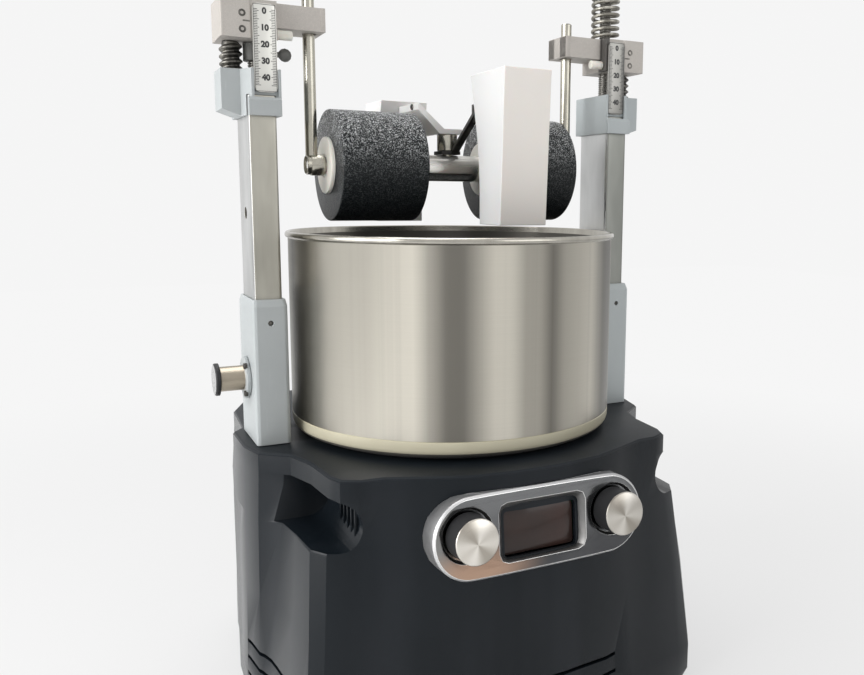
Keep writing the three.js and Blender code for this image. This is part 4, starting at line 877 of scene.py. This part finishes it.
def makeScales():
    for name, side in sides:
        low, high = nodeBox("scale_" + name)
        middle = (low.x + high.x) / 2
        face = low.y
        dressed("scale_" + name, "gantry", "scale" if side < 0 else "scaleRightShaded", 0.2)
        strokes = []
        for edge in (-1, 1):
            for i in range(scale["count"]):
                outer = middle + edge * scale["reach"]
                inner = outer - edge * (scale["short"] if i % scale["longEvery"] else scale["long"])
                z = scale["from"] + i
                strokes.append((*sorted((outer, inner)), z - scale["tick"] / 2, z + scale["tick"] / 2))
        line, inset = scale["line"], scale["inset"]
        left, right, bottom, top = low.x + inset, high.x - inset, low.z + inset, high.z - inset
        strokes += [(left, right, bottom, bottom + line), (left, right, top - line, top),
                    (left, left + line, bottom, top), (right - line, right, bottom, top)]
        ticks = joined(*(slab((x0, face - scale["proud"], z0), (x1, face + scale["sunk"], z1))
                         for x0, x1, z0, z1 in strokes))
        words = []
        for i, value in enumerate(scale["numbers"]):
            only(None)
            bpy.ops.object.text_add()
            text = bpy.context.object
            text.data.body = str(value)
            text.data.align_x = "CENTER"
            text.data.align_y = "CENTER"
            text.data.size = scale["textSize"] * mm
            text.data.extrude = scale["proud"] * mm
            text.data.offset = scale["bold"] * mm
            bpy.ops.object.convert(target="MESH")
            words.append(settled(bpy.context.object, (90, 0, 0),
                                 (middle, face, scale["numberTop"] - i * scale["numberStep"])))
        finished(joined(ticks, *words), "scaleMarks_" + name, "gantry", "ink", (), 0)


makeScales()
print("posts and scales dressed")

# Screws, studs and springs. A head is drawn from its underside up
threads = {"stop": {"radius": 7.2, "root": 5.4, "pitch": 4.6, "reach": 149.8, "steps": 40},
           "stud": {"radius": 4.5, "root": 3.75, "pitch": 1.5, "steps": 28, "plain": (13.5, 12.8),
                     "clear": 13},
           "crest": 0.18, "foot": 0.44, "end": 0.48, "sunk": 0.6}
screwHead = {"high": 14, "grips": 30, "gripReach": 12.75, "gripHalf": 0.4, "gripHeights": (2.2, 9.8),
             "profile": ((4.5, 0), (11.6, 0), (12.6, 0.5), (13, 1.5), (13, 10.6), (12.5, 11.8), (10.4, 14),
                         (0, 14))}
spring = {"wire": 2.7, "outer": 22.4, "turns": 10.625, "height": 56, "sides": 14, "steps": 40, "sunk": 0.05,
          "keep": 0.857}


def ridge(kind, turns, place):
    radius, root, pitch, steps = (threads[kind][k] for k in ("radius", "root", "pitch", "steps"))
    crest, foot, end = (threads[k] * pitch for k in ("crest", "foot", "end"))
    inside = root - threads["sunk"]
    section = [(inside, -end), (root, -foot), (radius, -crest / 2), (radius, crest / 2), (root, foot),
               (inside, end)]
    return wound(section, pitch, turns, steps, place)


def makeStopScrew(name, side):
    low, high = nodeBox("stop_screw_" + name)
    root, pitch, reach = (threads["stop"][k] for k in ("root", "pitch", "reach"))
    core = spun([(0, low.z), (root, low.z), (root, high.z - 0.6), (root - 0.6, high.z), (0, high.z)], 48,
                (0, 0, 0), (side * reach, posts["setback"], 0))
    turns = int((high.z - low.z - pitch) / pitch)
    start = high.z - 0.55 * pitch - turns * pitch
    finished(joined(core, ridge("stop", turns, (side * reach, posts["setback"], start))), "stopThread_" + name,
             "stop_" + name, "thread", ("stop_screw_" + name,))


def makeTensionScrew(name, side):
    low, high = nodeBox("tension_screw_" + name)
    head = high.z - screwHead["high"]
    radius, root, pitch, plain = (threads["stud"][k] for k in ("radius", "root", "pitch", "plain"))
    x0, y0 = side * posts["reach"], posts["setback"]
    core = spun([(0, low.z), (root, low.z), (root, head - plain[0]), (radius, head - plain[1])]
                + [(out, head + rise) for out, rise in screwHead["profile"]], 96, (0, 0, 0), (x0, y0, 0))
    turns = int((head - threads["stud"]["clear"] - low.z) / pitch) - 1
    thread = ridge("stud", turns, (x0, y0, low.z + pitch))
    half = screwHead["gripHalf"]
    bottom, top = (head + rise for rise in screwHead["gripHeights"])
    grips = []
    for i in range(screwHead["grips"]):
        angle = 2 * math.pi * i / screwHead["grips"]
        x = x0 + screwHead["gripReach"] * math.cos(angle)
        y = y0 + screwHead["gripReach"] * math.sin(angle)
        grips.append(slab((x - half, y - half, bottom), (x + half, y + half, top), 0.25, 1))
    finished(joined(core, thread, *grips), "tensionScrew_" + name, "tension_" + name, "stud",
             ("tension_screw_" + name,))


def makeCoil(name, side):
    r = spring["wire"] / 2
    mean = spring["outer"] / 2 - r
    angles = [2 * math.pi * k / spring["sides"] for k in range(spring["sides"])]
    section = [(mean + r * math.cos(a), r * math.sin(a)) for a in angles]
    pitch = (spring["height"] - spring["wire"]) / spring["turns"]
    start = nodeBox("spring_" + name)[0].z + r - spring["sunk"]
    place = (side * posts["reach"], posts["setback"], start)
    coil = wound(section, pitch, spring["turns"], spring["steps"], place)
    finished(coil, "coil_" + name, "gantry", "spring", ("spring_" + name,))
    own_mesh(coil)


for name, side in sides:
    makeStopScrew(name, side)
    makeTensionScrew(name, side)
    makeCoil(name, side)
dressed("stop_collar", "gantry", "collar", 0.3, 2, 40, 60)
print("screws and springs wound")


# Carriage: rods, axle, rollers and hubs
carriage = {"axle": 369.8, "eye": 7.1, "eyeBore": 5.8, "eyeNeck": 6.5, "rod": 4.0, "rodReach": 99.5,
            "rodFoot": 375.9, "shoulder": 25.25, "journal": 5.5, "middle": 9.4, "tip": 2.6}


def makeRods():
    r, bore, neck, rod, foot = (carriage[k] for k in ("eye", "eyeBore", "eyeNeck", "rod", "rodFoot"))
    for name, side in sides:
        low, high = nodeBox("rod_" + name)
        inner = low.x if side > 0 else -high.x
        long = high.x - low.x
        top = high.z
        eye = spun([(bore, 0), (r - 0.6, 0), (r, 0.6), (r, long - 3.4), (r - 0.25, long - 3.0),
                    (neck, long - 3.0), (neck, long - 0.5), (neck - 0.4, long), (bore, long), (bore, 0)],
                   72, (0, 90 * side, 0), (side * inner, posts["setback"], carriage["axle"]))
        shank = spun([(0, foot), (rod, foot), (rod, top - 0.7), (rod - 0.7, top), (0, top)],
                     48, (0, 0, 0), (side * carriage["rodReach"], posts["setback"], 0))
        finished(joined(eye, shank), "rodEye_" + name, "carriage", "rod", ("rod_" + name,))


makeRods()


def makeAxle():
    end = nodeBox("axle")[1].x
    s, journal, middle, tip = (carriage[k] for k in ("shoulder", "journal", "middle", "tip"))
    half = [(middle, s - 0.4), (middle - 0.4, s), (journal, s), (journal, end - 1.1),
            (journal - 0.6, end - 0.6), (tip, end - 0.6), (tip - 0.2, end), (0, end)]
    profile = [(radius, -along) for radius, along in reversed(half)] + half
    bar = spun(profile, 96, (0, 90, 0), (0, posts["setback"], carriage["axle"]))
    finished(bar, "axleBar", "carriage", "axle", ("axle",))


makeAxle()


# A roller with its two flanged hubs, drawn outward from the bowl's axis
roller = {"radius": 37.7, "inner": 28.4, "width": 59.8, "bore": 15.3, "edge": 1.0, "rows": 24, "flange": 19.2,
          "thick": 2.5, "bush": 26, "bushRadius": 15.0, "hubBore": 5.85, "dish": 8.2}


def makeStoneWheel(name, side):
    r, e, bore, rows = (roller[k] for k in ("radius", "edge", "bore", "rows"))
    a, b = roller["inner"], roller["inner"] + roller["width"]
    face = [(r, a + e + (b - a - 2 * e) * k / rows) for k in range(rows + 1)]
    profile = ([(bore, a), (r - e, a), (r - 0.3 * e, a + 0.3 * e)] + face
               + [(r - 0.3 * e, b - 0.3 * e), (r - e, b), (bore, b), (bore, a)])
    wheel = spun(profile, 160, (0, 90 * side, 0), (0, posts["setback"], carriage["axle"]))
    finished(wheel, "rollerStone_" + name, "wheel_" + name, "roller", ("roller_" + name,))


def makeHub(name, side, where, face, way):
    f, t, bush, wide = (roller[k] for k in ("flange", "thick", "bush", "bushRadius"))
    bore, dish = roller["hubBore"], roller["dish"]
    profile = [(bore, -bush), (wide, -bush), (wide, 0.3), (f, 0.3), (f, t - 0.4), (f - 0.25, t + 0.1),
               (f - 0.8, t + 0.3), (dish, t + 0.3), (dish - 0.5, t - 0.2), (bore, t - 0.2), (bore, -bush)]
    hub = spun([(radius, face + way * out) for radius, out in profile], 96, (0, 90 * side, 0),
               (0, posts["setback"], carriage["axle"]))
    finished(hub, f"hubFlange_{name}_{where}", "wheel_" + name, "hub", (f"hub_{name}_{where}",))


for name, side in sides:
    makeStoneWheel(name, side)
    makeHub(name, side, "inner", roller["inner"], -1)
    makeHub(name, side, "outer", roller["inner"] + roller["width"], 1)
print("rollers made")

# Scrapers, their bracket and the small screws
# The front scraper's left-facing faces take a darker copy of its finish, painted shade
faced(evened(dressed("scraper_front", "carriage", "scraper", 0.5, 3, 20)), "scraperSideShaded",
      lambda face: face.normal.x < -0.7)
# The rear scraper takes the paler strap finish, painted lighter than the front scraper as light where it stands
# in shade
evened(dressed("scraper_rear", "carriage", "strap", 0.5, 3, 20))
scraperScrew = {"place": (-25, 12.4, 412.6),
                "head": ((0, 0.2), (1.0, 0.2), (1.1, 0.9), (1.8, 0.9), (2.1, 0.6), (2.1, -1.5), (0, -1.5))}
finished(spun(scraperScrew["head"], 32, (0, -90, 0), scraperScrew["place"]), "scraperScrew", "carriage",
         "thread")
dressed("strut_front", "carriage", "strut", 0.35, 2)
dressed("bracket_nut", "carriage", "rod", 0.3, 2, 50, 50)
evened(dressed("strap_rear", "carriage", "strap", 0.4, 2))
for name, side in sides:
    dressed("thumb_screw_" + name, "thumb_" + name, "hub", 0.35, 2, 40, 40)

# Lock plunger: painted flange with two screws, warm barrel, black knob with a knurled face
plunger = {"flange": -149.4, "screws": (218.2, 236.8), "ahead": -1,
           "head": ((0, 0.5), (0.8, 0.5), (0.9, 1.3), (1.7, 1.3), (2.0, 1.0), (2.0, -1), (0, -1))}


def makePlunger():
    guide = dressed("plunger_guide", "base", "barrel", 0.3, 2, 30, 40)
    faced(guide, "paint", lambda face: (face.center.x - axisFoot.x) / mm > plunger["flange"] - 0.05)
    screws = [spun(plunger["head"], 32, (0, -90, 0), (plunger["flange"], plunger["ahead"], z))
              for z in plunger["screws"]]
    finished(joined(*screws), "flangeScrews", "base", "thread")
    knob = dressed("plunger_knob", "plunger", "black", 0.3, 2, 30, 40)
    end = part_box("plunger_knob")[0].x
    faced(knob, "knurl", lambda face: face.normal.x < -0.9 and face.center.x < end + 0.4 * mm)


makePlunger()

# The drive inside the base keeps its solids
for node, look in (("motor", "iron"), ("motor_bracket", "plate"), ("drive_belt", "rubber"),
                   ("motor_pulley", "plate"), ("driven_pulley", "iron"), ("bearing_housing", "iron"),
                   ("spindle_bearing", "rod"), ("spindle", "thread")):
    painted(node, look)
print("carriage and drive dressed")


# Pale floor and soft studio light, in metres. Seen by the camera, the floor fades into the white behind it
studio = {"size": 6.0, "white": 0.915, "room": 0.36, "aim": (0, 0, 0.25), "glowReach": (0.2, 1.1),
          "glowShare": (0.72, 1.0), "glowLevel": (0.84, 0.92),
          "lamps": (("windowLamp", (-1.7, -0.25, 0.75), 1.3, 31), ("fillLamp", (0.9, -1.6, 1.0), 1.2, 6.5),
                    ("topLamp", (-0.2, 0.35, 1.9), 1.3, 20))}


def makeFloor():
    only(None)
    bpy.ops.mesh.primitive_plane_add(size=studio["size"], location=(0, 0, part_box("foot_front_left")[0].z))
    floor = bpy.context.object
    floor.name = "floor"
    f = Finish("paleFloor", Roughness=0.8)
    p = f.place()
    f.set(Base_Color=f.mix(f.noise(p, 3, 2), grey(0.86), grey(0.9)))
    x, y = f.axes(p)[:2]
    reach = (x * x + y * y).maths("SQRT")
    level = f.step(reach, *studio["glowReach"], *studio["glowLevel"])
    share = f.step(reach, *studio["glowReach"], *studio["glowShare"])
    seen = f.wire("ShaderNodeLightPath", "Is Camera Ray", {}, {})
    glow = f.add("ShaderNodeEmission", {}, {"Color": (1, 1, 1), "Strength": level})
    blend = f.add("ShaderNodeMixShader", {}, {0: seen * share})
    f.tree.links.new(f.shader.outputs[0], blend.inputs[1])
    f.tree.links.new(glow.outputs[0], blend.inputs[2])
    f.tree.links.new(blend.outputs[0], f.tree.nodes["Material Output"].inputs[0])
    floor.data.materials.append(f.material)


def makeLamps():
    for name, place, size, power in studio["lamps"]:
        only(None)
        bpy.ops.object.light_add(type="AREA", location=place)
        lamp = bpy.context.object
        lamp.name = name
        lamp.data.shape = "SQUARE"
        lamp.data.size = size
        lamp.data.energy = power
        aim = Vector(studio["aim"]) - Vector(place)
        lamp.rotation_euler = aim.to_track_quat("-Z", "Y").to_euler()


# White where it is seen or mirrored, dimmer as a light of its own
def makeRoom():
    world = bpy.data.worlds.new("paleRoom")
    bpy.context.scene.world = world
    world.use_nodes = True
    tree = world.node_tree
    path = tree.nodes.new("ShaderNodeLightPath")
    seen = path.outputs["Is Camera Ray"]
    for kind in ("Is Glossy Ray", "Is Transmission Ray"):
        either = tree.nodes.new("ShaderNodeMath")
        either.operation = "MAXIMUM"
        tree.links.new(seen, either.inputs[0])
        tree.links.new(path.outputs[kind], either.inputs[1])
        seen = either.outputs[0]
    level = tree.nodes.new("ShaderNodeMapRange")
    level.inputs["To Min"].default_value = studio["room"]
    level.inputs["To Max"].default_value = studio["white"]
    back = tree.nodes["Background"]
    back.inputs["Color"].default_value = (1, 1, 1, 1)
    tree.links.new(seen, level.inputs["Value"])
    tree.links.new(level.outputs[0], back.inputs["Strength"])


makeFloor()
makeLamps()
makeRoom()
bpy.context.scene.view_settings.view_transform = "Standard"
print("studio set")
